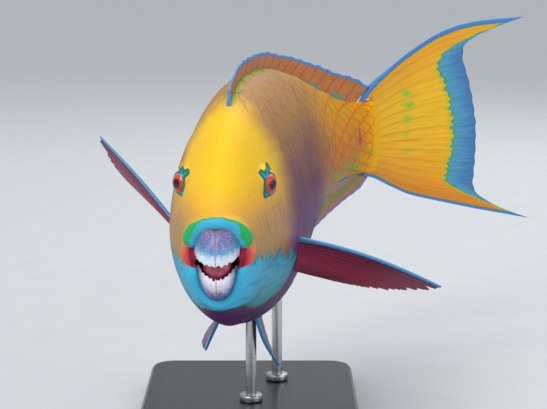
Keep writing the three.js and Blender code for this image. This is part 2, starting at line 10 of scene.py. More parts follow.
import bpy
import numpy as np
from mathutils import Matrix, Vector

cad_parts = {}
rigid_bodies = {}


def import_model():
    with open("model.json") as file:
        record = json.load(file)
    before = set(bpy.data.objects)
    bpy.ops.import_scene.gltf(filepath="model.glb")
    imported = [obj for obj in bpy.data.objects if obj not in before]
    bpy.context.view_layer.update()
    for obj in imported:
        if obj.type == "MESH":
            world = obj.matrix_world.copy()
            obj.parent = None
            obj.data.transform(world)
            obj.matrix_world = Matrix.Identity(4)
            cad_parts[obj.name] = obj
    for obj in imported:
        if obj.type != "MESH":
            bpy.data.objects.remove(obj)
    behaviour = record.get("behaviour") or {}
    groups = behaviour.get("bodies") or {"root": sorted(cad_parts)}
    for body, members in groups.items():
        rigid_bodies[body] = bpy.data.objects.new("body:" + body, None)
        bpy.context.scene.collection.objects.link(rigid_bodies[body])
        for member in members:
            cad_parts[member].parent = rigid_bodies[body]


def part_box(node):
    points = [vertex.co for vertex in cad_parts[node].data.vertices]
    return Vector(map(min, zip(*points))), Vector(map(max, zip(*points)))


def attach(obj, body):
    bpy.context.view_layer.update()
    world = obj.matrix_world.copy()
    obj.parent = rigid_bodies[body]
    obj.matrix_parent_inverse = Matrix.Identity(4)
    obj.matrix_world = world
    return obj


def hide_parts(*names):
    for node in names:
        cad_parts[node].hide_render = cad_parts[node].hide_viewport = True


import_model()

log = logging.getLogger("parrotfish")
MM = 0.001
MEETING = 1e-6
SOFT_DEPTH = 2 * MM
SOFT_RADIUS = (1.0, 0.5, 0.35)
FAR = 99.0

Array = np.ndarray
Tree = bpy.types.NodeTree
Socket = bpy.types.NodeSocket
Marks = dict[str, Array]
Form = Callable[[Array, Array], Array]
Marker = Callable[[Array, Array], Marks]


class Side(Enum):
    """The fish's own left and right."""

    LEFT = 1
    RIGHT = -1


class Jaw(Enum):
    """The two jaws."""

    UPPER = 1
    LOWER = -1


class Curve:
    """A smooth curve through knots that never overshoots them."""

    def __init__(self, knots: Sequence[float], values: Sequence[float]) -> None:
        """Works out the slope at each knot.

        Args:
            knots: Rising places of the knots.
            values: The curve's value at each knot.
        """
        self.x = np.array(knots, float)
        self.y = np.array(values, float)
        width = np.diff(self.x)
        slope = np.diff(self.y) / width
        self.tangent = np.zeros(len(self.x))
        self.tangent[0], self.tangent[-1] = slope[0], slope[-1]
        for i in range(1, len(self.x) - 1):
            if slope[i - 1] * slope[i] > 0:
                w1 = 2 * width[i] + width[i - 1]
                w2 = width[i] + 2 * width[i - 1]
                self.tangent[i] = (w1 + w2) / (w1 / slope[i - 1] + w2 / slope[i])

    def __call__(self, at: Array | float) -> Array:
        """Reads the curve.

        Args:
            at: Places along it, held between the first and last knot.

        Returns:
            The values there.
        """
        at = np.clip(np.asarray(at, float), self.x[0], self.x[-1])
        i = np.clip(np.searchsorted(self.x, at) - 1, 0, len(self.x) - 2)
        h = self.x[i + 1] - self.x[i]
        u = (at - self.x[i]) / h
        rise = u * u * (3 - 2 * u)
        bend = h * u * (1 - u) * ((1 - u) * self.tangent[i] - u * self.tangent[i + 1])
        return self.y[i] + (self.y[i + 1] - self.y[i]) * rise + bend


def smooth(x: Array | float, start: float, end: float) -> Array:
    """Rises softly from 0 at the start to 1 at the end.

    Args:
        x: Where to read it.
        start: Where the rise begins.
        end: Where it ends.

    Returns:
        Values from 0 to 1.
    """
    u = np.clip((np.asarray(x, float) - start) / (end - start), 0, 1)
    return u * u * (3 - 2 * u)


def lerp(a: Array | float, b: Array | float, share: Array | float) -> Array:
    """Mixes a and b by a share from 0 to 1."""
    return a + (b - a) * np.asarray(share, float)


def power(x: Array | float, exponent: Array | float) -> Array:
    """Raises the size of x to a power and keeps its sign."""
    return np.sign(x) * np.abs(x) ** exponent


def unit(vectors: Array) -> Array:
    """Scales vectors to length one."""
    return vectors / np.maximum(np.linalg.norm(vectors, axis=-1, keepdims=True), 1e-9)


@dataclass(frozen=True)
class BodyPlan:
    """The fish's form in millimetres, facing -Y with its left at +X, with the sizes of the solids.

    A station is a share of the standard length, from the snout back. The stalk thins to the
    tail fin by the share and between the stations of thinning.
    """

    length: float = 310
    nose_down: float = math.radians(5)
    end: float = 1.03
    stations: tuple = (0, 0.02, 0.05, 0.1, 0.18, 0.28, 0.4, 0.52, 0.64, 0.76, 0.88, 0.95, 1.03)
    back_line: tuple = (0, 0.049, 0.083, 0.125, 0.168, 0.199, 0.2145, 0.209, 0.181, 0.135, 0.09, 0.08, 0.086)
    keel_line: tuple = (0, 0.058, 0.083, 0.114, 0.15, 0.186, 0.21, 0.195, 0.15, 0.091, 0.063, 0.068, 0.08)
    side_line: tuple = (
        0, 0.036, 0.052, 0.068, 0.084, 0.101, 0.108, 0.096, 0.074, 0.048, 0.027, 0.018, 0.007
    )
    back_roundness: float = 1.85
    belly_roundness: tuple = (1.65, 2)
    fullness: float = 0.16
    head_yaw: float = math.radians(2)
    body_bend: tuple = (math.radians(36), 0.066, 1.053)
    tail_bend: tuple = (math.radians(24), 0.88, 1.24)
    gill_station: float = 0.335
    nape_station: float = 0.23
    gill_step: float = 1.5
    spine_height: float = 118
    balance_station: float = 0.44
    spine_end: float = 1.6
    thinning: tuple = (0.8, 0.945, 1.012)

    def outline(self, values: Sequence[float]) -> Callable[[Array | float], Array]:
        """Makes one of the body's outlines.

        Args:
            values: Shares of the length at the stations.

        Returns:
            A function of the station.
        """
        drawn = Curve(np.sqrt(self.stations), values)
        return lambda station: drawn(np.sqrt(np.maximum(station, 0)))

    def __post_init__(self) -> None:
        """Prepares the outlines and the spine."""
        steps = 2000
        width = self.spine_end / steps
        middle = (np.arange(steps) + 0.5) * width
        angle = self.heading(middle)
        run = np.stack([np.sin(angle), np.cos(angle)], -1) * width * self.length
        for name, value in {
            "back": self.outline(self.back_line),
            "keel": self.outline(self.keel_line),
            "side": self.outline(self.side_line),
            "spine": np.concatenate([[[0, 0]], np.cumsum(run, 0)]),
            "spine_at": np.linspace(0, self.spine_end, steps + 1),
        }.items():
            object.__setattr__(self, name, value)

    def heading(self, station: Array | float) -> Array:
        """The spine's heading from +Y towards +X, in radians."""
        turn, start, end = self.body_bend
        sweep, near, far = self.tail_bend
        return self.head_yaw + turn * smooth(station, start, end) + sweep * smooth(station, near, far)

    def place(self, station: Array | float, left: Array | float, up: Array | float) -> Array:
        """Finds points beside the spine.

        Args:
            station: Shares of the length.
            left: Millimetres to the fish's left.
            up: Millimetres above the spine.

        Returns:
            Points in the fish's frame, in millimetres.
        """
        station, left, up = np.broadcast_arrays(np.asarray(station, float), left, up)
        x = np.interp(station, self.spine_at, self.spine[:, 0])
        y = np.interp(station, self.spine_at, self.spine[:, 1])
        angle = self.heading(station)
        return np.stack([x + left * np.cos(angle), y - left * np.sin(angle), up + 0.0], -1)

    def belly_exponent(self, station: Array | float) -> Array:
        """The exponent of the section's lower half."""
        return lerp(*self.belly_roundness, smooth(station, 0.15, 0.5))

    def section(self, station: Array | float, turn: Array | float) -> tuple[Array, Array]:
        """How far left and up the skin lies, in millimetres, by station and turn."""
        above = np.sin(turn) > 0
        exponent = 2 / np.where(above, self.back_roundness, self.belly_exponent(station))
        wide = 1 - self.fullness * np.clip(1.15 - station, 0, 1) * np.sin(turn)
        share, start, end = self.thinning
        wide = wide * (1 - share * smooth(station, start, end))
        left = self.side(station) * power(np.cos(turn), exponent) * wide
        up = np.where(above, self.back(station), self.keel(station)) * power(np.sin(turn), exponent)
        return left * self.length, up * self.length

    def skin(self, station: Array | float, turn: Array | float, lift: Array | float = 0) -> Array:
        """Finds points of the skin, or above it.

        Args:
            station: Shares of the length.
            turn: Angles, 0 at the fish's left side and a quarter turn at its back.
            lift: Millimetres off the skin.

        Returns:
            Points in the fish's frame, in millimetres.
        """
        station, turn = np.broadcast_arrays(np.asarray(station, float), turn)
        on = self.place(station, *self.section(station, turn))
        return on + self.normal(station, turn) * np.asarray(lift, float)[..., None]

    def normal(self, station: Array, turn: Array) -> Array:
        """The skin's outward directions by station and turn."""
        ds, da = 0.004, 0.04

        def on(s: Array, a: Array) -> Array:
            """A point of the skin."""
            return self.place(s, *self.section(s, a))

        along = on(station + ds, turn) - on(np.maximum(station - ds, 4e-4), turn)
        around = on(station, turn + da) - on(station, turn - da)
        return unit(np.cross(along, around))

    def station_of(self, left: Array, up: Array) -> Array:
        """Finds where the head's skin lies in front of points so far left and up.

        Args:
            left: Millimetres to the fish's left.
            up: Millimetres above the spine.

        Returns:
            The stations, found by halving.
        """
        left, up = np.broadcast_arrays(np.asarray(left, float), up)
        near, far = np.full(left.shape, 1e-4), np.full(left.shape, 0.3)
        for _ in range(30):
            middle = (near + far) / 2
            inside = self.within(middle, left, up) < 1
            near, far = np.where(inside, near, middle), np.where(inside, middle, far)
        return far

    def halves(self, station: Array, up: Array) -> tuple[Array, Array, Array]:
        """A section's half height, its half width at a height, and its exponent there."""
        high = np.where(up > 0, self.back(station), self.keel(station)) * self.length
        wide = self.side(station) * self.length * (1 - self.fullness * up / high)
        return high, wide, np.where(up > 0, self.back_roundness, self.belly_exponent(station))

    def within(self, station: Array, left: Array, up: Array) -> Array:
        """How far out a point lies in a section: 1 on the skin, less inside it."""
        high, wide, exponent = self.halves(station, up)
        return np.abs(left / wide) ** exponent + np.abs(up / high) ** exponent

    def turn_of(self, station: Array, left: Array, up: Array) -> Array:
        """The turn of the skin's point that lies so far left and up at a station."""
        high, wide, exponent = self.halves(station, up)
        return np.arctan2(power(up / high, exponent / 2), power(left / wide, exponent / 2))

    def gill_edge(self, turn: Array) -> Array:
        """The station of the gill cover's free edge."""
        return lerp(self.nape_station, self.gill_station, (np.cos(turn) ** 2) ** 0.7)

    def to_world(self, points: Array) -> Array:
        """Turns points of the fish's frame, in millimetres, to the model's frame, in metres."""
        c, s = math.cos(self.nose_down), math.sin(self.nose_down)
        balance = self.place(self.balance_station, 0, 0)
        x, y, z = np.moveaxis(points, -1, 0)
        world = np.stack(
            [x - balance[0], (y - balance[1]) * c - z * s, y * s + z * c + self.spine_height], -1
        )
        return world * MM


PLAN = BodyPlan()


def linear(code: str) -> tuple[float, float, float, float]:
    """Turns an sRGB hex colour to linear light.

    Args:
        code: The colour as "#RRGGBB".

    Returns:
        Red, green, blue and alpha.
    """
    parts = [int(code[i : i + 2], 16) / 255 for i in (1, 3, 5)]
    light = [p / 12.92 if p <= 0.04045 else ((p + 0.055) / 1.055) ** 2.4 for p in parts]
    return (*light, 1.0)


def add_node(tree: Tree, kind: str, inputs: dict | None = None, **settings: object) -> bpy.types.Node:
    """Adds a node with its settings, values and links.

    Args:
        tree: The material's node tree.
        kind: The node's type, without "ShaderNode".
        inputs: By input name or number, a value, a colour code or an output to link.
        settings: Properties of the node. A "ramp" is a list of places and colour codes.

    Returns:
        The node.
    """
    node = tree.nodes.new("ShaderNode" + kind)
    for i, (position, colour) in enumerate(settings.pop("ramp", ())):
        marks = node.color_ramp.elements
        if i == 0:
            marks.remove(marks[1])
        mark = marks.new(position) if i else marks[0]
        mark.position = position
        mark.color = linear(colour)
    for name, value in settings.items():
        setattr(node, name, value)
    for name, value in (inputs or {}).items():
        socket = node.inputs[name]
        if isinstance(value, Socket):
            tree.links.new(value, socket)
        elif isinstance(value, str):
            socket.default_value = linear(value)
        else:
            socket.default_value = value
    return node


@dataclass(frozen=True)
class Finish:
    """A finish: what the real surface is, and how it takes the light."""

    name: str
    roughness: float = 0.4
    ior: float = 1.45
    metallic: float = 0.0
    coat: float = 0.0
    coat_roughness: float = 0.1
    specular: float = 0.5
    subsurface: float = 0.0

    def start(self) -> tuple[Tree, bpy.types.Node, bpy.types.Material]:
        """Makes the material with its shader.

        Returns:
            The node tree, the shader and the material.
        """
        material = bpy.data.materials.new(self.name)
        material.use_nodes = True
        tree = material.node_tree
        shader = tree.nodes["Principled BSDF"]
        shader.inputs["Roughness"].default_value = self.roughness
        shader.inputs["IOR"].default_value = self.ior
        shader.inputs["Metallic"].default_value = self.metallic
        shader.inputs["Specular IOR Level"].default_value = self.specular
        shader.inputs["Coat Weight"].default_value = self.coat
        shader.inputs["Coat Roughness"].default_value = self.coat_roughness
        shader.inputs["Subsurface Weight"].default_value = self.subsurface
        shader.inputs["Subsurface Scale"].default_value = SOFT_DEPTH
        shader.inputs["Subsurface Radius"].default_value = SOFT_RADIUS
        return tree, shader, material


def reading(tree: Tree, name: str) -> Socket:
    """The value of one of the piece's own attributes."""
    return add_node(tree, "Attribute", attribute_name=name).outputs["Fac"]


def band(tree: Tree, value: Socket, start: float, end: float) -> Socket:
    """Turns a value to a soft mask.

    Args:
        tree: The material's node tree.
        value: The value.
        start: Where the mask is 0.
        end: Where it is 1.

    Returns:
        The mask.
    """
    flip = end < start
    inputs = {"Value": value, 1: min(start, end), 2: max(start, end), 3: float(flip), 4: float(not flip)}
    return add_node(tree, "MapRange", inputs, interpolation_type="SMOOTHSTEP").outputs[0]


def sum_of(
    tree: Tree, a: Socket | float, b: Socket | float, how: str = "ADD", c: Socket | float = 0.0
) -> Socket:
    """Works out one sum of two or three values, by the name of the Math operation."""
    return add_node(tree, "Math", {0: a, 1: b, 2: c}, operation=how).outputs[0]


def product(tree: Tree, *factors: Socket | float) -> Socket:
    """Multiplies values and masks together."""
    found = factors[0]
    for factor in factors[1:]:
        found = sum_of(tree, found, factor, "MULTIPLY")
    return found


def paint(tree: Tree, under: Socket | str, over: Socket | str, *masks: Socket | float) -> Socket:
    """Lays one colour over another.

    Args:
        tree: The material's node tree.
        under: The colour beneath.
        over: The colour on top.
        masks: Where and how strongly the top one shows, which are multiplied.

    Returns:
        The mixed colour.
    """
    inputs = {0: product(tree, *masks), 6: under, 7: over}
    return add_node(tree, "Mix", inputs, data_type="RGBA").outputs[2]


def grain(tree: Tree, stretch: tuple, detail: float, where: Socket | str = "") -> Socket:
    """Noise on the piece's own coordinates.

    Args:
        tree: The material's node tree.
        stretch: Cycles to a metre along each axis, or to the map's unit.
        detail: The noise's fine detail.
        where: Coordinates or a UV map to read, or the object's coordinates if none.

    Returns:
        The noise, about a half.
    """
    if isinstance(where, Socket):
        source = where
    elif where:
        source = add_node(tree, "UVMap", uv_map=where).outputs[0]
    else:
        source = add_node(tree, "TexCoord").outputs["Object"]
    placed = add_node(tree, "Mapping", {"Vector": source, "Scale": stretch})
    noise = add_node(tree, "TexNoise", {"Vector": placed.outputs[0], "Scale": 1.0, "Detail": detail})
    return noise.outputs[0]


def wander(tree: Tree, stretch: tuple, detail: float, where: str = "") -> Socket:
    """Noise about 0, which makes an edge or a height wander."""
    return sum_of(tree, grain(tree, stretch, detail, where), 0.5, "SUBTRACT")


def own_map(tree: Tree) -> tuple[Socket, Socket]:
    """Where a point lies across and along its own sheet, from 0 to 1."""
    split = add_node(tree, "SeparateXYZ", {0: add_node(tree, "UVMap", uv_map="UVMap").outputs[0]})
    return split.outputs[0], split.outputs[1]


def bumped(tree: Tree, shader: bpy.types.Node, height: Socket, depth: float, strength: float) -> None:
    """Raises the surface by a height.

    Args:
        tree: The material's node tree.
        shader: The shader to raise.
        height: The height, from 0 to 1.
        depth: Metres for a height of 1.
        strength: How much of it shows.
    """
    bump = add_node(tree, "Bump", {"Height": height, "Distance": depth, "Strength": strength})
    tree.links.new(bump.outputs[0], shader.inputs["Normal"])


def dress(piece: bpy.types.Object, material: bpy.types.Material) -> None:
    """Gives a piece one material."""
    piece.data.materials.clear()
    piece.data.materials.append(material)


def select_only(piece: bpy.types.Object) -> None:
    """Selects one object and makes it the active one."""
    bpy.ops.object.select_all(action="DESELECT")
    piece.select_set(True)
    bpy.context.view_layer.objects.active = piece


def fresh(name: str) -> bpy.types.Object:
    """Names the object that was just added."""
    piece = bpy.context.active_object
    piece.name = piece.data.name = name
    return piece


def put_in_scene(name: str, data: bpy.types.ID) -> bpy.types.Object:
    """Adds an object for a mesh, a light or a camera."""
    piece = bpy.data.objects.new(name, data)
    bpy.context.collection.objects.link(piece)
    return piece


def corners(piece: bpy.types.Object) -> Array:
    """The places of a piece's vertices."""
    flat = np.empty(len(piece.data.vertices) * 3)
    piece.data.vertices.foreach_get("co", flat)
    return flat.reshape(-1, 3)


def mark_points(mesh: bpy.types.Mesh, marks: Marks) -> None:
    """Gives a mesh values at its vertices, by the name of their attribute."""
    for name, values in marks.items():
        layer = mesh.attributes.new(name, "FLOAT", "POINT")
        layer.data.foreach_set("value", np.ascontiguousarray(values, float).ravel())


def settle(piece: bpy.types.Object, material: bpy.types.Material, slot: str, *nodes: str) -> None:
    """Dresses a piece and gives it its place in the frame.

    Args:
        piece: The piece.
        material: Its material.
        slot: The slot of its colour in the part's record; it is not used.
        nodes: The solids that it stands for, if any.
    """
    dress(piece, material)
    if nodes:
        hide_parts(*nodes)
    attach(piece, "root")
    log.info("%s of %d faces", piece.name, len(piece.data.polygons))


def paced(at: Array, density: Array, count: int) -> Array:
    """Places a count of steps along a line, closer together where the density is higher."""
    run = np.concatenate([[0], np.cumsum((density[1:] + density[:-1]) / 2)])
    return np.interp(np.linspace(0, run[-1], count), run, at)


def sheet(name: str, points: Array, marks: Marks | None = None) -> bpy.types.Object:
    """Lays a grid over a surface.

    Args:
        name: The piece's name.
        points: Rows and columns of points in the fish's frame, in millimetres.
        marks: Values at the points, by the name of their attribute.

    Returns:
        The grid, with U along the columns and V along the rows.
    """
    rows, columns = points.shape[:2]
    bpy.ops.mesh.primitive_grid_add(
        x_subdivisions=columns - 1, y_subdivisions=rows - 1, size=1, calc_uvs=True
    )
    piece = fresh(name)
    flat = corners(piece)
    column = np.rint((flat[:, 0] + 0.5) * (columns - 1)).astype(int)
    row = np.rint((flat[:, 1] + 0.5) * (rows - 1)).astype(int)
    piece.data.vertices.foreach_set("co", PLAN.to_world(points)[row, column].ravel())
    spread = {mark: np.broadcast_to(values, (rows, columns)) for mark, values in (marks or {}).items()}
    mark_points(piece.data, {mark: values[row, column] for mark, values in spread.items()})
    piece.data.update()
    return piece


def close(piece: bpy.types.Object) -> None:
    """Merges the piece's meeting points, turns its faces out and shades it smooth."""
    select_only(piece)
    bpy.ops.object.mode_set(mode="EDIT")
    bpy.ops.mesh.select_all(action="SELECT")
    bpy.ops.mesh.remove_doubles(threshold=MEETING)
    bpy.ops.mesh.dissolve_degenerate(threshold=1e-7)
    bpy.ops.mesh.select_all(action="SELECT")
    bpy.ops.mesh.normals_make_consistent(inside=False)
    bpy.ops.object.mode_set(mode="OBJECT")
    bpy.ops.object.shade_smooth()


def thicken(piece: bpy.types.Object, thickness: float, least: float = 1.0, offset: float = 0.0) -> None:
    """Gives a sheet its thickness on both faces.

    Args:
        piece: The sheet, with a "stout" attribute from 0 to 1 where least is under 1.
        thickness: The most, in metres.
        least: The share of it where the sheet is thinnest.
        offset: 0 about the sheet's middle, -1 under its face.
    """
    select_only(piece)
    solid = piece.modifiers.new("thickness", "SOLIDIFY")
    solid.thickness = thickness
    solid.offset = offset
    solid.use_even_offset = False
    if least < 1:
        group = piece.vertex_groups.new(name="stout")
        values = np.empty(len(piece.data.vertices))
        piece.data.attributes["stout"].data.foreach_get("value", values)
        for i, value in enumerate(values):
            group.add([i], float(value), "REPLACE")
        solid.vertex_group = "stout"
        solid.thickness_vertex_group = least
    bpy.ops.object.modifier_apply(modifier=solid.name)
    bpy.ops.object.shade_smooth()


@dataclass(frozen=True)
class Palette:
    """The fish's colours."""

    crown: str = "#F7C527"
    brow: str = "#EBB23C"
    cheek: str = "#B98E5C"
    back: str = "#B98A50"
    mauve: str = "#7E5A58"
    plum: str = "#5A2672"
    belly: str = "#430E58"
    gold: str = "#E3A412"
    olive: str = "#869650"
    rust: str = "#E25A16"
    sky: str = "#43B4DC"
    leaf: str = "#A9C23A"


COLOURS = Palette()


@dataclass
class Eyes:
    """The two eyeballs and the raised skin round them."""

    station: float = 0.19
    height: float = 27
    radius: float = 6.4
    bulge: float = 4.6
    turn: float = math.radians(30)
    gaze: float = math.radians(45)
    strokes: tuple = (
        (2.4, 4.4, 2.8, 0.0, 1.2, 0.9),
        (2.8, 0.0, 2.6, -3.4, 0.9, 1.2),
        (2.4, -4.2, 1.0, -4.4, 1.5, 1.5),
        (2.2, 4.0, 0.6, 4.0, 1.7, 1.2),
        (1.7, 4.4, 1.7, 8.4, 1.7, 0.9),
        (2.2, 4.0, 5.0, 6.6, 1.6, 1.1),
    )
    iris_share: float = 0.265
    pupil_share: float = 0.108
    opening: float = 4.75
    socket: float = 10.5
    rim_height: float = 4.35
    rim_roll: float = 0.5
    rim_slope: float = 0.22
    patch_reach: float = 12

    def axis(self, side: Side) -> Array:
        """The way an eye looks, in the fish's frame."""
        return unit(np.array([side.value * math.cos(self.turn), -math.sin(self.turn), 0.12]))

    def sight(self, side: Side) -> Array:
        """The way a pupil looks, which is further ahead than the socket faces."""
        return unit(np.array([side.value * math.cos(self.gaze), -math.sin(self.gaze), 0.08]))

    def centre(self, side: Side) -> Array:
        """The middle of an eyeball, in the fish's frame."""
        turn = math.asin(self.height / PLAN.length / PLAN.back(self.station))
        on = PLAN.skin(self.station, turn if side is Side.LEFT else math.pi - turn)
        return on + self.axis(side) * (self.bulge - self.radius)

    def about(self, side: Side, points: Array) -> tuple[Array, Array, Array]:
        """The ways from an eyeball's middle to points, and how far along its axis and off it they lie."""
        away = points - self.centre(side)
        depth = away @ self.axis(side)
        return away, depth, np.linalg.norm(away - depth[..., None] * self.axis(side), axis=-1)

    def raised(self, points: Array) -> Array:
        """Lifts the skin round the eyes to a soft rim that holds the eyeballs.

        Args:
            points: Points of the bare skin in the fish's frame.

        Returns:
            The points of the raised skin.
        """
        for side in Side:
            _, depth, ring = self.about(side, points)
            ball = np.sqrt(np.maximum(self.radius**2 - ring**2, 0))
            roll = self.rim_roll * smooth(ring, self.opening + 0.4, self.opening - 0.2)
            rim = self.rim_height - roll - self.rim_slope * (ring - self.opening)
            wanted = np.where(ring > self.opening - 0.2, rim, ball - 0.8)
            share = smooth(ring, self.socket, self.opening + 0.6) * (depth > -9)
            points = points + self.axis(side) * ((wanted - depth) * share)[..., None]
        return points

    def patch(self, points: Array) -> Array:
        """How deep points lie inside the blue patch round an eye, in millimetres.

        Args:
            points: Points of the skin in the fish's frame.

        Returns:
            Millimetres, less than 0 outside it.
        """
        deepest = np.full(points.shape[:-1], -FAR)
        for side in Side:
            away, depth, ring = self.about(side, points)
            deepest = np.maximum(deepest, np.where(depth > -6, self.opening + 0.7 - ring, -FAR))
            seen = (away - self.axis(side) * 4)[..., (0, 2)] * (-side.value, 1)
            fade = np.clip(np.linalg.norm(away, axis=-1) - self.patch_reach, 0, None)
            for inward, rise, inward_end, rise_end, radius, radius_end in self.strokes:
                start, end = np.array([inward, rise]), np.array([inward_end, rise_end])
                run = end - start
                share = np.clip(((seen - start) @ run) / (run @ run), 0, 1)
                far = np.linalg.norm(seen - start - share[..., None] * run, axis=-1)
                deepest = np.maximum(deepest, lerp(radius, radius_end, share) - far - fade)
        return deepest

    def finish(self) -> bpy.types.Material:
        """Wet cornea over a coloured iris: a dark pupil in an orange-red ring with a lilac rim."""
        tree, shader, material = Finish(
            "wet eye", roughness=0.2, ior=1.34, coat=0.6, coat_roughness=0.03
        ).start()
        polar = reading(tree, "polar")
        fibres = grain(tree, (900, 900, 900), 2)
        rings = add_node(
            tree,
            "ValToRGB",
            {"Fac": polar},
            ramp=[
                (0.0, "#0B0714"),
                (self.pupil_share - 0.01, "#1C0E2E"),
                (self.pupil_share + 0.01, "#6A1030"),
                (self.pupil_share + 0.025, "#D83018"),
                (0.19, "#E24C14"),
                (self.iris_share - 0.045, "#D8401C"),
                (self.iris_share - 0.02, "#B58AC8"),
                (self.iris_share + 0.01, "#7A66A8"),
                (self.iris_share + 0.04, "#27506A"),
            ],
        )
        low = band(tree, reading(tree, "low"), 0.1, 0.75)
        iris = band(tree, polar, self.pupil_share + 0.02, self.pupil_share + 0.05)
        warm = paint(tree, rings.outputs[0], "#D42438", low, iris)
        inside = product(tree, band(tree, polar, self.iris_share - 0.02, self.iris_share - 0.05), 0.8)
        kept = paint(tree, rings.outputs[0], warm, inside)
        shade = product(tree, band(tree, fibres, 0.35, 0.7), 0.18)
        tree.links.new(paint(tree, kept, "#7A1420", shade, iris), shader.inputs["Base Color"])
        return material

    def build(self) -> None:
        """Makes both eyeballs, each with its pole on the line of sight."""
        material = self.finish()
        for side in Side:
            name = side.name.lower()
            bpy.ops.mesh.primitive_uv_sphere_add(segments=64, ring_count=48, radius=self.radius * MM)
            ball = fresh("eyeball_" + name)
            flat = corners(ball) / (self.radius * MM)
            polar = np.arccos(np.clip(flat[:, 2], -1, 1)) / math.pi
            axis = Vector(self.sight(side))
            turn = np.array(Vector((0, 0, 1)).rotation_difference(axis).to_matrix())
            swollen = 1 + 0.05 * smooth(polar, 0.36, 0.0)
            placed = (flat * swollen[:, None] * self.radius) @ turn.T + self.centre(side)
            ball.data.vertices.foreach_set("co", PLAN.to_world(placed).ravel())
            mark_points(ball.data, {"polar": polar, "low": 0.5 - (flat @ turn.T)[:, 2]})
            close(ball)
            settle(ball, material, "eye", "eye_" + name)


@dataclass
class Mouth:
    """The beak of fused teeth, the flesh behind it, and the line of the lips."""

    beak_centre: float = 13
    wall: float = 2.4
    upper: tuple = (11.4, 17.5, 17.8, 0.7)
    lower: tuple = (10.4, 15.6, 19.2, 0.85)
    upper_edge: tuple = (0.24, 0.1)
    lower_edge: tuple = (-0.05, -0.33)
    upper_lip: tuple = (14, 18.2)
    lower_lip: tuple = (11.4, 19.6)
    lip_squareness: float = 0.93

    def beak_point(self, across: Array, rise: Array, inset: Array | float) -> Array:
        """Finds points of the beak's egg.

        Args:
            across: Turns across from straight ahead.
            rise: Rises above the gape, in radians.
            inset: Millimetres inside the egg.

        Returns:
            Points in the fish's frame.
        """
        across, rise = np.broadcast_arrays(np.asarray(across, float), rise)
        share = smooth(rise, -0.1, 0.06)
        half, reach, height, square = (lerp(a, b, share) for a, b in zip(self.lower, self.upper))
        narrow = np.abs(np.cos(rise)) ** square
        x = (half - inset) * np.sin(across) * narrow
        y = self.beak_centre - (reach - inset) * np.cos(across) * narrow
        z = (height - inset) * np.sin(rise)
        c, s = math.cos(PLAN.head_yaw), math.sin(PLAN.head_yaw)
        return np.stack([x * c + y * s, -x * s + y * c, z], -1)

    def lip_line(self, turn: Array) -> tuple[Array, Array]:
        """How far left and up the middle of the lips lies, by the turn round the mouth."""
        above = smooth(np.sin(turn), -0.3, 0.3)
        left = lerp(self.lower_lip[0], self.upper_lip[0], above) * power(np.cos(turn), self.lip_squareness)
        height = np.where(np.sin(turn) > 0, self.upper_lip[1], self.lower_lip[1])
        return left, height * power(np.sin(turn), self.lip_squareness)

    def lip_radius(self, turn: Array) -> Array:
        """How stout the lips are: a full upper lip, a lump at each corner and a thin lower lip."""
        rise = np.degrees(np.arcsin(np.clip(np.sin(turn), -1, 1)))
        knots = (-90, -50, -20, -8, -3, 4, 11, 17, 21, 27, 42, 62, 90)
        sizes = (2.3, 2.6, 2.9, 2.6, 2.2, 3.6, 3.9, 3.2, 2.9, 4.2, 4.7, 4.1, 3.7)
        return Curve(knots, sizes)(rise)

    def plate_finish(self, jaw: Jaw) -> bpy.types.Material:
        """Dental enamel, glossy and pebbled: it runs from a white cutting edge to a dark root."""
        name = jaw.name.lower() + " beak enamel"
        tree, shader, material = Finish(name, roughness=0.36, ior=1.55, coat=0.2, subsurface=0.05).start()
        across, out = own_map(tree)
        along = sum_of(tree, wander(tree, (420, 420, 420), 3), out, "MULTIPLY_ADD", out)
        if jaw is Jaw.UPPER:
            stops = [
                (0.0, "#F4F4FA"),
                (0.14, "#DCE8F6"),
                (0.29, "#5EA6D4"),
                (0.47, "#6A74AE"),
                (0.86, "#7E6EA4"),
                (0.95, "#9A6474"),
                (1.0, "#84403E"),
            ]
        else:
            stops = [
                (0.0, "#F6F6FC"),
                (0.26, "#DCD8EE"),
                (0.42, "#9A90C4"),
                (0.6, "#565894"),
                (0.82, "#2C346E"),
                (0.97, "#8A4A5C"),
                (1.0, "#A0525A"),
            ]
        ramp = add_node(tree, "ValToRGB", {"Fac": along}, ramp=stops)
        edge = band(tree, across, 0.36 if jaw is Jaw.LOWER else 0.6, 0.85)
        much = 0.85 if jaw is Jaw.LOWER else 0.3
        sides = paint(tree, ramp.outputs[0], "#24507E", edge, much)
        streak = band(tree, grain(tree, (46, 2, 1), 3, "UVMap"), 0.42, 0.66)
        radial = product(tree, streak, band(tree, out, 0.12, 0.5))
        sides = paint(tree, sides, "#4C4A86", radial, 0.55)
        seam = band(tree, across, 0.03, 0.01)
        sides = paint(tree, sides, "#D9B8A8", seam, 0.7)
        place = add_node(tree, "TexCoord").outputs["Object"]
        pebbles = add_node(tree, "TexVoronoi", {"Vector": place, "Scale": 1150.0}).outputs["Distance"]
        middle = product(tree, band(tree, pebbles, 0.32, 0.14), 0.5, band(tree, out, 0.2, 0.5))
        tree.links.new(paint(tree, sides, "#F0ECFA", middle), shader.inputs["Base Color"])
        bumped(tree, shader, pebbles, 0.0004, 0.5)
        return material

    def flesh_finish(self) -> bpy.types.Material:
        """Wet gum and tongue, crimson, with painted shade darkening it to near black in the recess of the
        open gape.
        """
        tree, shader, material = Finish("wet gum", roughness=0.3, ior=1.4, coat=0.5, subsurface=0.3).start()
        soft = grain(tree, (260, 260, 260), 4)
        colour = add_node(tree, "ValToRGB", {"Fac": soft}, ramp=[(0.3, "#8E2444"), (0.7, "#D4607A")])
        # Painted shade: near-black where the flesh is sunk into the gape's recess, by the "dent" depth.
        deep = band(tree, reading(tree, "dent"), 0.5, 2.2)
        tree.links.new(paint(tree, colour.outputs[0], "#1A0812", deep), shader.inputs["Base Color"])
        bumped(tree, shader, soft, 0.0006, 0.5)
        return material

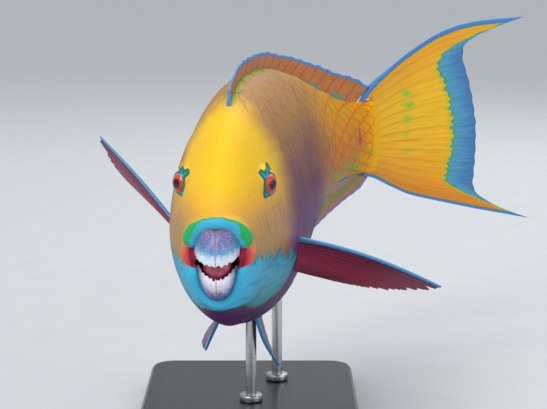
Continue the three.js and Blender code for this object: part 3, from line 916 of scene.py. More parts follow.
    def build(self) -> None:
        """Makes the four tooth plates and the flesh behind them."""
        for jaw in Jaw:
            material = self.plate_finish(jaw)
            for side in Side:
                solid = f"beak_{jaw.name.lower()}_{side.name.lower()}"
                settle(self.plate(jaw, side), material, "beak", solid)
        self.lining()

    def plate(self, jaw: Jaw, side: Side) -> bpy.types.Object:
        """Makes one fused tooth plate.

        Args:
            jaw: Which jaw it grows from.
            side: Which side of the seam it is on.

        Returns:
            The plate, with V from its cutting edge to its root.
        """
        upper = jaw is Jaw.UPPER
        rows, columns = 30, 44
        u, v = np.meshgrid(np.linspace(0, 1, columns), np.linspace(0, 1, rows))
        turn = u * (1.4 if upper else 1.3)
        rng = np.random.default_rng(3 + jaw.value * 2 + side.value)
        teeth = np.interp(u[0], np.linspace(0, 1, 23), rng.uniform(-1, 1, 23)) * 0.03
        teeth = teeth + 0.02 * np.cos(u[0] * math.pi * 11)
        edge = lerp(*(self.upper_edge if upper else self.lower_edge), np.cos(turn[0]) ** 2)
        edge = edge - jaw.value * (teeth + 0.01)
        root = 1.2 if upper else -1.3
        rise = lerp(edge[None, :], root, v)
        crown = 0.5 * smooth(v, 0.14, 0.0) + 0.22 * smooth(u, 0.04, 0.0)
        points = self.beak_point(side.value * turn, rise, crown)
        points[:, 0, 0] += side.value * 0.04
        plate = sheet(f"{jaw.name.lower()}_plate_{side.name.lower()}", points)
        mark_points(plate.data, {"stout": 1 - smooth(v, 0.2, 0)})
        close(plate)
        self.face_out(plate)
        thicken(plate, (self.wall - 0.2) * MM, 0.45, -1.0)
        return plate

    def face_out(self, piece: bpy.types.Object) -> None:
        """Turns an open shell's faces away from the middle of the mouth.

        Args:
            piece: The shell.
        """
        middle = Vector(PLAN.to_world(np.array([0.0, self.beak_centre, 0.0])))
        outward = sum((p.normal.dot(p.center - middle)) * p.area for p in piece.data.polygons)
        if outward < 0:
            piece.data.flip_normals()

    def lining(self) -> None:
        """Makes the gums and the tongue, with the gape between them."""
        inset = self.upper[0] - self.lower[0] + self.wall + 0.45
        gape = self.upper_edge[1] + 0.01
        turn, rise = np.meshgrid(np.linspace(0, 2 * math.pi, 65), np.linspace(-math.pi / 2, math.pi / 2, 61))
        front = np.clip(np.cos(turn), 0, 1) ** 0.5
        dent = 4.6 * np.exp(-(((rise - gape) / 0.05) ** 2)) * front**5
        tongue = 1.3 * np.exp(-(((rise + 0.17) / 0.16) ** 2)) * front
        # The recess depth also goes on as the "dent" mark, which the gum's finish turns into painted shade.
        lining = sheet("mouth_flesh", self.beak_point(turn, rise, inset + dent - tongue), {"dent": dent})
        close(lining)
        settle(lining, self.flesh_finish(), "gum", "mouth_lining")


class Markings:
    """The colours of the skin, which the scales carry too, and the thin slime on both."""

    slime = {"roughness": 0.5, "coat": 0.04, "coat_roughness": 0.3, "specular": 0.2}

    def base(self, tree: Tree) -> Socket:
        """Paints the body's ground colours by station and height.

        Args:
            tree: The material's node tree.

        Returns:
            The colour.
        """
        station, level = reading(tree, "station"), reading(tree, "level")
        cloud = wander(tree, (22, 22, 60), 3)
        drift = sum_of(tree, cloud, 0.05, "MULTIPLY_ADD", level)
        along = sum_of(tree, cloud, 0.1, "MULTIPLY_ADD", station)
        place = add_node(tree, "MapRange", {0: drift, 1: -0.2, 2: 0.2}).outputs[0]
        c = COLOURS
        head = add_node(
            tree,
            "ValToRGB",
            {"Fac": place},
            ramp=[
                (0.2, c.belly),
                (0.33, "#5E3A5A"),
                (0.46, "#A98458"),
                (0.57, c.cheek),
                (0.68, c.brow),
                (0.76, c.crown),
            ],
        )
        trunk = add_node(
            tree,
            "ValToRGB",
            {"Fac": place},
            ramp=[
                (0.22, c.belly),
                (0.42, c.plum),
                (0.56, "#65405A"),
                (0.69, c.mauve),
                (0.83, "#AA7C4C"),
                (0.95, c.back),
            ],
        )
        stalk = add_node(
            tree,
            "ValToRGB",
            {"Fac": place},
            ramp=[(0.3, "#2E5A58"), (0.37, c.olive), (0.46, "#C08048"), (0.56, "#CE8432"), (0.7, c.gold)],
        )
        colour = paint(tree, head.outputs[0], trunk.outputs[0], band(tree, along, 0.22, 0.335))
        colour = paint(tree, colour, stalk.outputs[0], band(tree, along, 0.52, 0.84))
        colour = paint(tree, colour, "#F0A008", band(tree, along, 0.86, 0.93))
        return paint(tree, colour, "#FFBE00", band(tree, station, 0.925, 0.97))

    def streaks(self, tree: Tree, colour: Socket) -> Socket:
        """Lays the fine upright streaks of the cheeks and flanks over a colour."""
        level, station = reading(tree, "level"), reading(tree, "station")
        lines = grain(tree, (260, 16, 1), 4, add_node(tree, "CombineXYZ", {0: station, 1: level}).outputs[0])
        low = product(tree, band(tree, level, 0.09, 0.03), band(tree, station, 0.06, 0.1))
        low = sum_of(tree, low, band(tree, station, 0.27, 0.33), "MAXIMUM")
        low = product(tree, low, band(tree, station, 0.95, 0.7))
        dark = product(tree, band(tree, lines, 0.5, 0.72), low)
        light = product(tree, band(tree, lines, 0.48, 0.28), low)
        shaded = paint(tree, colour, "#4A2A40", dark, 0.5)
        return paint(tree, shaded, "#D89A68", light, 0.26)

    def crimson_spot(self, tree: Tree, colour: Socket) -> Socket:
        """Lays the small upright crimson spot of the tail stalk over a colour."""
        ahead = sum_of(tree, reading(tree, "station"), 0.893, "SUBTRACT")
        above = product(tree, sum_of(tree, reading(tree, "level"), 0.015, "SUBTRACT"), 0.42)
        far = sum_of(tree, sum_of(tree, ahead, 2.0, "POWER"), sum_of(tree, above, 2.0, "POWER"))
        spot = product(tree, band(tree, far, 0.000085, 0.00003), 0.8)
        return paint(tree, colour, "#B82A4A", spot)

    def ridge(self, tree: Tree, colour: Socket) -> Socket:
        """Lays the yellow-green band along the foot of the back fin over a colour."""
        wave = product(tree, grain(tree, (160, 160, 160), 2), 2.2)
        width = sum_of(tree, reading(tree, "ridge"), wave)
        mask = product(tree, band(tree, width, 4.6, 3.2), band(tree, reading(tree, "station"), 0.255, 0.28))
        mask = product(tree, mask, band(tree, reading(tree, "station"), 0.86, 0.7))
        return paint(tree, colour, COLOURS.leaf, mask, 0.8)

    def head_marks(self, tree: Tree, colour: Socket) -> Socket:
        """Lays the chin, eye and lip colours over a colour.

        Args:
            tree: The material's node tree.
            colour: The colour beneath.

        Returns:
            The finished colour.
        """
        c = COLOURS
        cells = add_node(tree, "CombineXYZ", {0: reading(tree, "station"), 1: reading(tree, "level")})
        spikes = grain(tree, (112, 9, 1), 3, cells.outputs[0])
        sharp = product(tree, band(tree, spikes, 0.34, 0.66), 6.5)
        top = sum_of(tree, sum_of(tree, reading(tree, "chin_top"), sharp), 3.2, "SUBTRACT")
        cloud = product(tree, wander(tree, (120, 120, 120), 3), 5.0)
        chin = sum_of(tree, top, sum_of(tree, reading(tree, "chin"), cloud), "MINIMUM")
        depth = band(tree, reading(tree, "chin"), 0, 20)
        near = band(tree, reading(tree, "station"), 0.15, 0.035)
        blue = paint(tree, paint(tree, "#2E8A96", "#3A9CB8", depth), c.sky, near)
        fibres = band(tree, grain(tree, (60, 60, 420), 3), 0.5, 0.72)
        blue = paint(tree, blue, "#256488", fibres, 0.5)
        folds = band(tree, grain(tree, (38, 38, 90), 2), 0.56, 0.7)
        blue = paint(tree, blue, "#2A5C9C", folds, 0.55)
        blue = paint(tree, blue, "#1F7A5A", band(tree, chin, 2.0, 0.5))
        colour = paint(tree, colour, blue, band(tree, chin, -0.25, 0.25))
        eye = reading(tree, "eye_patch")
        ring = paint(tree, "#17745E", "#3AA0C8", band(tree, eye, 0.7, 1.5))
        colour = paint(tree, colour, ring, band(tree, eye, -0.15, 0.15))
        lip, rise = reading(tree, "lip"), reading(tree, "rise")
        wave = wander(tree, (150, 150, 150), 2)
        reach = sum_of(tree, wave, 0.25, "MULTIPLY_ADD", lip)
        lobe = band(tree, rise, 66, 42)
        start = add_node(tree, "MapRange", {0: lobe, 3: 0.72, 4: 0.5}).outputs[0]
        into = sum_of(tree, reach, start, "SUBTRACT")
        upper = paint(tree, "#46B4D6", "#2FAE5C", band(tree, into, 0.0, 0.12))
        lower = paint(tree, c.sky, "#2C7CB0", band(tree, reach, 0.45, 0.15))
        lips = paint(tree, lower, upper, band(tree, rise, 19.0, 22.0))
        sunk = sum_of(tree, lip, -13.0, "MULTIPLY_ADD", rise)
        corner = product(tree, band(tree, sunk, -12.0, -9.0), band(tree, rise, 22.5, 19.5))
        red = add_node(
            tree,
            "ValToRGB",
            {"Fac": reach},
            ramp=[
                (0.05, "#C85068"),
                (0.3, "#B83048"),
                (0.46, "#701024"),
                (0.56, "#A83040"),
                (0.74, "#D8604C"),
                (0.95, "#E08A5C"),
            ],
        )
        lips = paint(tree, lips, red.outputs[0], corner)
        edge = add_node(tree, "MapRange", {0: lobe, 3: 0.86, 4: 0.97}).outputs[0]
        edge = sum_of(tree, edge, band(tree, rise, 19.0, 16.0), "SUBTRACT")
        out = sum_of(tree, reach, edge, "SUBTRACT")
        out = sum_of(tree, out, band(tree, rise, 21, 17), "SUBTRACT")
        limit = paint(tree, colour, lips, band(tree, out, 0.05, -0.02))
        return paint(tree, limit, "#8A1C34", band(tree, lip, 0.14, 0.02))

    def skin_finish(self) -> bpy.types.Material:
        """Fish skin under a thin coat of slime: smooth, wet and softly lit from within."""
        tree, shader, material = Finish("wet fish skin", ior=1.36, subsurface=0.06, **self.slime).start()
        colour = self.ridge(tree, self.streaks(tree, self.base(tree)))
        tree.links.new(self.head_marks(tree, colour), shader.inputs["Base Color"])
        pores = grain(tree, (700, 700, 700), 3)
        bumped(tree, shader, pores, 0.0003, 0.35)
        return material

    def scale_finish(self) -> bpy.types.Material:
        """Horny scales under the same skin: each has a bright middle and a darker or redder rim."""
        tree, shader, material = Finish("fish scales", ior=1.38, subsurface=0.04, **self.slime).start()
        station, rim = reading(tree, "station"), reading(tree, "rim")
        c = COLOURS
        colour = self.crimson_spot(tree, self.streaks(tree, self.base(tree)))
        hind = product(tree, band(tree, station, 0.64, 0.86), band(tree, station, 0.99, 0.94))
        blotch = grain(tree, (70, 70, 120), 2)
        heart = product(tree, band(tree, rim, 0.62, 0.25), hind, 0.4)
        colour = paint(tree, colour, "#C4A428", heart)
        low = band(tree, reading(tree, "level"), -0.004, -0.03)
        green = product(tree, low, hind, band(tree, blotch, 0.42, 0.56))
        spot = product(tree, green, band(tree, rim, 0.7, 0.35))
        colour = paint(tree, colour, "#5AAE3C", spot, 0.85)
        edge = band(tree, rim, 0.66, 0.92)
        line = paint(tree, "#5E4048", c.rust, band(tree, station, 0.62, 0.8))
        much = add_node(tree, "MapRange", {0: hind, 3: 0.2, 4: 0.72}).outputs[0]
        much = product(tree, much, band(tree, station, 1.0, 0.94))
        colour = paint(tree, colour, line, edge, much)
        tree.links.new(self.ridge(tree, colour), shader.inputs["Base Color"])
        lines = grain(tree, (30, 1, 1), 2, "Scale")
        bumped(tree, shader, lines, 0.0003, 0.4)
        return material


@dataclass
class Skin:
    """One unbroken skin, from the throat over the lips and the body to the root of the tail."""

    eyes: Eyes
    mouth: Mouth
    columns: int = 232
    face_rows: int = 126
    body_rows: int = 100
    rounding: float = 0.014
    nostril: tuple = (13.5, 26.0)

    def turns(self) -> Array:
        """The columns' turns, closer together at the height of the eyes."""
        at = np.linspace(0, 2 * math.pi, 1441)
        fine = 1 + 1.3 * sum(np.exp(-(((at - math.radians(d)) / 0.3) ** 2)) for d in (33, 147))
        return paced(at, fine, self.columns + 1)

    def face_shares(self) -> Array:
        """The face rows' places from the lips to the gill cover, closer together by the eyes."""
        at = np.linspace(0, 1, 501)
        fine = 1 + 1.2 * np.exp(-(((at - 0.5) / 0.13) ** 2)) + 1.0 * smooth(at, 0.12, 0)
        return paced(at, fine, self.face_rows)

    def lips(self, turn: Array) -> tuple[list[Array], list[Array], Array, Array]:
        """Makes the rows from the throat to the outer foot of the lips.

        Args:
            turn: The columns' turns.

        Returns:
            The rows of points, the place of each across the lip, and how far left and up the
            face begins.
        """
        m = self.mouth
        left, up = m.lip_line(turn)
        centre = PLAN.place(PLAN.station_of(left, up), left, up)
        ahead = np.array([0.0, -1.0, 0.0])
        before, after = m.lip_line(turn - 0.02), m.lip_line(turn + 0.02)
        run = np.stack([after[0] - before[0], 0 * turn, after[1] - before[1]], -1)
        out = unit(np.cross(unit(run), ahead))
        radius = m.lip_radius(turn)[:, None]
        throat = PLAN.place(0.1, 0, 0) + 0 * centre
        deep = centre - out * radius * 0.6 - ahead * 9
        rows, shares = [throat, lerp(throat, deep, 0.5), deep], [0.0, 0.0, 0.0]
        angles = np.radians(np.linspace(205, -12, 17))
        for i, a in enumerate(angles):
            rows.append(centre + out * math.cos(a) * radius + ahead * math.sin(a) * radius * 0.8)
            shares.append(i / (len(angles) - 1))
        foot = centre + out * (radius + 0.9)
        return rows, shares, foot[:, 0], foot[:, 2]

    def build(self) -> None:
        """Makes the skin."""
        turn = self.turns()
        rows, lip_share, foot_left, foot_up = self.lips(turn)
        on = PLAN.place(PLAN.station_of(foot_left, foot_up), 0, 0)
        foot_left = foot_left - on[:, 0]
        start = PLAN.station_of(foot_left, foot_up)
        start_turn = np.unwrap(PLAN.turn_of(start, foot_left, foot_up))
        start_turn += 2 * math.pi * np.round((turn - start_turn) / (2 * math.pi))
        gill = PLAN.gill_edge(turn)
        stations = [np.full(turn.shape, 0.03)] * len(rows)
        for i, share in enumerate(self.face_shares()):
            s = lerp(start, gill, share)
            a = lerp(start_turn, turn, smooth(share, 0, 0.8))
            flare = smooth(s, PLAN.gill_station - 0.09, PLAN.gill_station) * np.cos(turn) ** 2
            stations.append(s)
            rows.append(self.face(s, a, PLAN.gill_step * flare - 0.1 * smooth(i, 1.5, 0)))
        free = np.cos(turn) ** 2
        rows.append(PLAN.skin(gill + 0.001 + 0.001 * free, turn, 0.7 * free))
        rows.append(PLAN.skin(gill + 0.002 - 0.005 * free, turn, -0.3 * free))
        stations += [gill + 0.001, gill]
        last = PLAN.end - self.rounding
        for i in range(self.body_rows):
            share = i / (self.body_rows - 1)
            s = lerp(gill + 0.004, last, share)
            stations.append(s)
            rows.append(PLAN.skin(s, turn, -0.25 * smooth(share, 0, 0.02)))
        last_left, last_up = PLAN.section(np.full(turn.shape, last), turn)
        for share in (0.2, 0.4, 0.6, 0.8, 0.93, 1.0):
            s = np.full(turn.shape, last + self.rounding * share)
            stations.append(s)
            rows.append(PLAN.place(s, last_left * math.sqrt(1 - share**2), last_up * (1 - 0.04 * share)))
        points = np.stack(rows)
        station = np.stack(stations)
        up = points[..., 2]
        middle = PLAN.place(station, 0, 0)
        left = np.hypot(points[..., 0] - middle[..., 0], points[..., 1] - middle[..., 1])
        level = up / PLAN.length
        marks = {
            "station": station,
            "level": level,
            "ridge": np.where(up > 0, left, FAR),
            "chin": self.chin(station, level),
            "chin_top": (-0.245 * (station - 0.06) - level) * PLAN.length,
            "eye_patch": self.eyes.patch(points),
            "rise": np.broadcast_to(np.degrees(np.arcsin(np.sin(turn))), station.shape),
            "lip": self.lip_reach(points, lip_share),
        }
        skin = sheet("skin", points, marks)
        close(skin)
        lips = ("upper_lip", "lower_lip", "mouth_corner_left", "mouth_corner_right")
        settle(skin, Markings().skin_finish(), "skin", "head", "trunk", "tail_stalk", *lips)

    def face(self, station: Array, turn: Array, lift: Array) -> Array:
        """Points of the head's skin, raised round the eyes and dented at the nostrils."""
        bare = PLAN.skin(station, turn)
        wide, high = self.nostril
        pit_station = PLAN.station_of(wide, high)
        for side in Side:
            pit = PLAN.place(pit_station, side.value * wide, high)
            far = np.linalg.norm(bare - pit, axis=-1)
            lift = lift + 0.35 * np.exp(-(((far - 1.3) / 0.5) ** 2)) - 1.0 * np.exp(-((far / 0.75) ** 2))
        return self.eyes.raised(bare + PLAN.normal(station, turn) * lift[:, None])

    def chin(self, station: Array, level: Array) -> Array:
        """How deep points lie inside the foot and the rear of the chin's blue patch."""
        foot = -0.088 - 0.04 * smooth(station, 0.07, 0.22)
        return np.minimum((level - foot) * 1.2, (0.326 - station) * 0.8) * PLAN.length

    def lip_reach(self, points: Array, shares: Sequence[float]) -> Array:
        """Places across the lip: 0 at its inner edge, 1 at its outer foot, and on by 4 mm steps."""
        reach = np.empty(points.shape[:2])
        reach[: len(shares)] = np.array(shares)[:, None]
        away = points[len(shares) :] - points[len(shares)]
        reach[len(shares) :] = 1 + np.linalg.norm(away, axis=-1) / 4
        return reach


@dataclass
class Scales:
    """The large overlapping scales of the flanks, as thin plates that follow their lie."""

    around: int = 22
    pitch: float = 0.0325
    overlap: float = 1.78
    across: int = 9
    along: int = 8
    rows: int = 26
    bare: float = 0.12
    bare_first: float = 0.3
    last: float = 0.997

    def build(self) -> None:
        """Makes the scales as one piece on each side of the fish."""
        material = Markings().scale_finish()
        for side in Side:
            settle(self.coat(side), material, "skin")

    def roots(self, side: Side) -> list[tuple[float, float, int]]:
        """Where the scales of a side grow, in staggered rows.

        Args:
            side: The side of the fish.

        Returns:
            The station, turn and row of each root.
        """
        step = 2 * math.pi / self.around
        found = []
        for row in range(self.rows):
            for i in range(self.around + 1):
                turn = -math.pi / 2 + (i + 0.5 * (row % 2)) * step
                outward = math.cos(turn)
                bare = self.bare_first if row < 2 else self.bare
                if (outward >= 0) is not (side is Side.LEFT) or abs(outward) < bare:
                    continue
                station = float(PLAN.gill_edge(np.array(turn))) - 0.02 + row * self.pitch
                if station < self.last:
                    found.append((station, turn, row))
        return found

    def coat(self, side: Side) -> bpy.types.Object:
        """Makes one side's scales.

        Args:
            side: The side of the fish.

        Returns:
            The joined plates.
        """
        roots = np.array(self.roots(side))
        a, q = np.meshgrid(np.linspace(-1, 1, self.across), np.linspace(0, 1, self.along))
        step = math.pi / self.around
        reach = self.pitch * self.overlap * (1 - 0.42 * np.abs(a) ** 1.7)
        width = step * 1.12 * (0.62 + 0.38 * np.sin(np.clip(q * 1.5, 0, 1) * math.pi / 2))
        station = roots[:, 0, None, None] + q * reach
        turn = roots[:, 1, None, None] + a * width
        firm = lerp(0.45, 1, smooth(station, 0.3, 0.62)) * smooth(station, 1.04, 0.9)
        first = np.broadcast_to(smooth(roots[:, 2, None, None], -1, 3), station.shape)
        lift = 0.04 + (0.6 * q + 0.16 * (1 - a**2) * q) * firm * first
        station = np.minimum(station, 1.02)
        points = PLAN.skin(station, turn, lift * smooth(np.abs(np.cos(turn)), 0.0, 0.3))
        rim = np.maximum(q**1.5, np.abs(a) ** 1.8 * q**0.5)
        left = np.abs(PLAN.section(station, turn)[0])
        marks = {
            "station": station,
            "level": points[..., 2] / PLAN.length,
            "ridge": np.where(points[..., 2] > 0, left, FAR),
            "rim": np.broadcast_to(rim, station.shape),
        }
        piece = self.joined("scales_" + side.name.lower(), points, marks)
        corner = np.empty(len(piece.data.loops), int)
        piece.data.loops.foreach_get("vertex_index", corner)
        which = corner // (self.across * self.along)
        local = np.stack(np.broadcast_arrays(q, a, station)[:2], -1).reshape(-1, 2)
        place = np.stack([roots[:, 0] / 1.1, np.mod(roots[:, 1], 2 * math.pi) / (2 * math.pi)], -1)
        spread = local[corner] * np.array([0.0015, 0.0007]) + place[which]
        own = piece.data.uv_layers.new(name="Scale")
        own.data.foreach_set("uv", ((local[corner][:, ::-1] + [1, 0]) * [0.5, 1]).ravel())
        bake = piece.data.uv_layers.new(name="OFBake")
        bake.data.foreach_set("uv", spread.ravel())
        thicken(piece, 0.3 * MM, 1.0, -1.0)
        select_only(piece)
        bpy.ops.object.shade_smooth_by_angle(angle=math.radians(45))
        return piece

    def joined(self, name: str, points: Array, marks: Marks) -> bpy.types.Object:
        """Makes one mesh of many like grids.

        Args:
            name: The piece's name.
            points: For each plate, its rows and columns of points in the fish's frame.
            marks: Values at the points.

        Returns:
            The piece.
        """
        count, rows, columns = points.shape[:3]
        corner = np.arange(rows * columns).reshape(rows, columns)
        quads = np.stack([corner[:-1, :-1], corner[:-1, 1:], corner[1:, 1:], corner[1:, :-1]], -1).reshape(
            -1, 4
        )
        faces = (quads[None] + (np.arange(count) * rows * columns)[:, None, None]).reshape(-1, 4)
        mesh = bpy.data.meshes.new(name)
        mesh.from_pydata(PLAN.to_world(points).reshape(-1, 3), [], faces[:, ::-1].tolist())
        mark_points(mesh, marks)
        piece = put_in_scene(name, mesh)
        outward = Vector(PLAN.to_world(points[0].mean((0, 1)))) - Vector(
            PLAN.to_world(PLAN.place(0.33, 0, 0))
        )
        if mesh.polygons[0].normal.dot(outward) < 0:
            mesh.flip_normals()
        return piece


@dataclass
class Fin:
    """A fin: a thin membrane over rays that stand out as ridges on both faces."""

    name: str
    node: str
    slot: str
    rays: int
    place: Form
    finish: Callable[[], bpy.types.Material]
    rows: int = 30
    spread: int = 7
    root_half: float = 1.3
    ray_half: float = 0.6
    membrane_half: float = 0.24
    scallop: float = 0.012
    branch: float = 2.0
    fray: float = 0.0
    lead_half: float = 0.0
    marks: Marker | None = None

    def build(self) -> None:
        """Makes the fin, with U across its rays and V along them."""
        columns = (self.rays - 1) * self.spread + 1
        u, v = np.meshgrid(np.linspace(0, 1, columns), np.linspace(0, 1, self.rows))
        between = np.sin(math.pi * (self.rays - 1) * u) ** 2
        rng = np.random.default_rng(len(self.name) + self.rays)
        torn = np.interp(u[0], np.linspace(0, 1, 3 * self.rays), rng.uniform(0, 1, 3 * self.rays)) ** 2
        torn = torn * self.fray * np.sin(math.pi * np.clip(u, 0.02, 0.98)) ** 0.5
        reach = v * (1 - self.scallop * between - torn)
        points = self.place(u, reach)
        crest = np.clip(np.cos(2 * math.pi * (self.rays - 1) * u), 0, 1) ** 2
        forked = np.clip(np.cos(4 * math.pi * (self.rays - 1) * u + math.pi * 0.5), 0, 1) ** 2
        ridge = np.maximum(crest * lerp(1, 0.6, smooth(v, self.branch - 0.1, self.branch + 0.1)), 0)
        ridge = np.maximum(ridge, forked * 0.7 * smooth(v, self.branch - 0.15, self.branch + 0.05))
        half = lerp(self.membrane_half, self.ray_half, ridge * lerp(1, 0.55, v))
        half = np.maximum(half, self.root_half * (0.75 + 0.25 * crest) * smooth(v, 0.4, 0.0))
        lead = measured(points)[1]
        half = np.maximum(half, self.lead_half * np.exp(-((lead / 2.2) ** 2)) * lerp(1, 0.45, v**2))
        most = half.max()
        marks = {"stout": half / most, "ray": ridge}
        if self.marks:
            marks |= self.marks(u, reach)
        fin = sheet(self.name, points, marks)
        thicken(fin, 2 * most * MM, 0.0)
        settle(fin, self.finish(), self.slot, self.node)


@dataclass
class FinFinish:
    """How a fin is painted: by its rays, its margin, its leading edge and its foot."""

    name: str
    membrane: tuple
    ray: str
    margin: str
    inner: str
    margin_width: float = 1.6
    lead_width: float = 0.0
    ray_strength: float = 0.5
    clear: float = 0.1

    def start(self) -> tuple[Tree, bpy.types.Node, bpy.types.Material, Socket]:
        """Paints the membrane, its rays and its edges.

        Returns:
            The tree, the shader, the material and the colour so far.
        """
        tree, shader, material = Finish(
            self.name, roughness=0.42, ior=1.4, coat=0.2, coat_roughness=0.2, subsurface=self.clear
        ).start()
        ground = add_node(tree, "ValToRGB", {"Fac": own_map(tree)[0]}, ramp=list(self.membrane))
        streak = grain(tree, (150, 4, 1), 4, "UVMap")
        tone = paint(tree, ground.outputs[0], self.ray, band(tree, streak, 0.45, 0.75), 0.55)
        rays = product(tree, band(tree, reading(tree, "ray"), 0.3, 0.95), self.ray_strength)
        colour = paint(tree, tone, self.ray, rays)
        ragged = product(tree, grain(tree, (60, 60, 1), 2, "UVMap"), 0.6)
        edge = sum_of(tree, reading(tree, "edge"), ragged, "SUBTRACT")
        colour = paint(
            tree, colour, self.inner, band(tree, edge, self.margin_width + 0.5, self.margin_width + 0.1)
        )
        colour = paint(
            tree, colour, self.margin, band(tree, edge, self.margin_width, self.margin_width - 0.4)
        )
        if self.lead_width:
            lead = band(tree, reading(tree, "lead"), self.lead_width, self.lead_width - 0.6)
            colour = paint(tree, colour, self.margin, lead)
        lines = grain(tree, (260, 3, 1), 3, "UVMap")
        bumped(tree, shader, lines, 0.0004, 0.5)
        return tree, shader, material, colour

    def plain(self) -> bpy.types.Material:
        """Finishes a fin that has no more marks."""
        tree, shader, material, colour = self.start()
        tree.links.new(colour, shader.inputs["Base Color"])
        return material


def measured(points: Array) -> tuple[Array, Array]:
    """How far each point of a fin lies from its outer and its leading edge, in millimetres."""
    out = np.linalg.norm(np.diff(points, axis=0), axis=-1)
    run = np.concatenate([np.zeros((1, points.shape[1])), np.cumsum(out, 0)])
    over = np.linalg.norm(np.diff(points, axis=1), axis=-1)
    width = np.concatenate([np.zeros((points.shape[0], 1)), np.cumsum(over, 1)], 1)
    return run[-1] - run, width


@dataclass
class Fins:
    """All the fins, with the forms of the part's source."""

    dorsal: tuple = (0.252, 0.885, 0.02)
    anal: tuple = (0.62, 0.885, 0.02)
    anal_lean: tuple = (0.055, 0.075)
    tail_root: float = 0.985
    shares: tuple = (0, 0.25, 0.5, 0.65, 0.75, 0.82, 0.88, 0.94, 1)

    def __post_init__(self) -> None:
        """Prepares the fins' curves and the forms of the paired fins."""
        self.pectoral = {
            Side.LEFT: ((0.338, -14), (0.362, -34), (82, 8, -31), (60, 33, -44), (27, 19, -13), (0, -2, 4)),
            Side.RIGHT: ((0.338, 197), (0.372, 206), (-49, 41, 46), (-45, 50, 22), (-12, 32, 8), (1, 0, 1)),
        }
        self.pelvic = {
            Side.LEFT: ((0.35, -71), (0.375, -76), (13, 37, -45), (6, 42, -33), (4, 22, -10), (-2, 0, -1)),
            Side.RIGHT: (
                (0.35, 252),
                (0.375, 259),
                (-11, 38, -37),
                (-18, 48, -36),
                (-9, 30, -14),
                (-1, 0, -2),
            ),
        }
        self.dorsal_lean = Curve([0, 0.2, 1], [0.012, 0.045, 0.078])
        self.dorsal_height = Curve(
            [0.26, 0.3, 0.38, 0.5, 0.6, 0.66, 0.74, 0.81, 0.88, 0.92, 0.965],
            [0.02, 0.026, 0.029, 0.03, 0.031, 0.036, 0.044, 0.05, 0.052, 0.046, 0.026],
        )
        self.anal_height = Curve([0, 0.25, 0.56, 0.8, 0.93, 1], [0.02, 0.052, 0.054, 0.042, 0.028, 0.01])
        self.upper_edge = Curve(
            [0.93, 0.961, 1.017, 1.068, 1.119, 1.165, 1.216, 1.268, 1.324, 1.375],
            [0.076, 0.104, 0.132, 0.157, 0.18, 0.198, 0.21, 0.215, 0.216, 0.216],
        )
        self.lower_edge = Curve(
            [0.93, 0.976, 1.037, 1.089, 1.153, 1.226, 1.285, 1.344, 1.41],
            [0.07, 0.083, 0.113, 0.138, 0.159, 0.181, 0.198, 0.214, 0.232],
        )
        self.upper_margin = (
            Curve(self.shares, [1.26, 1.25, 1.234, 1.222, 1.222, 1.236, 1.262, 1.31, 1.375]),
            Curve(self.shares, [0, 0.05, 0.105, 0.14, 0.16, 0.174, 0.186, 0.2, 0.216]),
        )
        self.lower_margin = (
            Curve(self.shares, [1.26, 1.262, 1.26, 1.258, 1.263, 1.274, 1.296, 1.336, 1.41]),
            Curve(self.shares, [0, 0.054, 0.104, 0.134, 0.15, 0.163, 0.178, 0.2, 0.232]),
        )
        self.crescent = Curve(
            [0, 0.3, 0.6, 0.7, 0.78, 0.86, 0.93, 1], [0.775, 0.77, 0.735, 0.75, 0.83, 0.93, 0.965, 0.99]
        )

    def dorsal_point(self, across: Array, along: Array) -> Array:
        """Points of the back fin."""
        start, end, sink = self.dorsal
        root = lerp(start, end, across)
        margin = root + self.dorsal_lean(across)
        low = PLAN.back(root) - sink
        high = PLAN.back(margin) + self.dorsal_height(margin)
        return PLAN.place(root + self.dorsal_lean(across) * along, 0, lerp(low, high, along) * PLAN.length)

    def anal_point(self, across: Array, along: Array) -> Array:
        """Points of the anal fin."""
        start, end, sink = self.anal
        root = lerp(start, end, across)
        margin = root + lerp(*self.anal_lean, across)
        high = PLAN.keel(root) - sink
        low = PLAN.keel(margin) + self.anal_height(across)
        return PLAN.place(lerp(root, margin, along), 0, -lerp(high, low, along) * PLAN.length)

    def tail_place(self, across: Array, along: Array) -> tuple[Array, Array]:
        """The station and height of points of the tail fin."""
        reach = np.abs(2 * across - 1)
        station = np.empty(np.shape(across))
        height = np.empty(np.shape(across))
        for up, edge, (margin, tall) in (
            (1, self.upper_edge, self.upper_margin),
            (-1, self.lower_edge, self.lower_margin),
        ):
            tip = margin(reach)
            s = lerp(self.tail_root - 0.055 * reach**4, tip, along)
            spread = lerp(reach, tall(reach) / edge(tip), along**0.9)
            mine = (across > 0.5) if up > 0 else (across <= 0.5)
            station = np.where(mine, s, station)
            height = np.where(mine, up * edge(s) * spread, height)
        return station, height

    def tail_point(self, across: Array, along: Array) -> Array:
        """Points of the tail fin."""
        station, height = self.tail_place(across, along)
        return PLAN.place(station, 0, height * PLAN.length)

    def paired_point(
        self, front: tuple, rear: tuple, first: tuple, middle: tuple, last: tuple, curl: tuple, sink: float
    ) -> Form:
        """Makes the form of a paired fin.

        Args:
            front: Station and turn, in degrees, of the front of its root.
            rear: The same of the rear of its root.
            first: From the root's front to the first ray's tip, in millimetres.
            middle: From there to the point that rounds its margin.
            last: From the root's rear to the last ray's tip.
            curl: How far its middle bows.
            sink: How deep its root is sunk.

        Returns:
            A function from shares across and along the rays to points.
        """
        root_front = PLAN.skin(front[0], math.radians(front[1]), -sink)
        root_rear = PLAN.skin(rear[0], math.radians(rear[1]), -sink)
        tip_front, round_off, tip_rear = root_front + first, root_front + middle, root_rear + last

        def at(across: Array, along: Array) -> Array:
            """Points of the fin."""
            u, v = across[..., None], along[..., None]
            tip = lerp(lerp(tip_front, round_off, u), lerp(round_off, tip_rear, u), u)
            bow = np.array(curl) * np.sin(math.pi * v) * (1 - u)
            return lerp(lerp(root_front, root_rear, u), tip, v) + bow

        return at

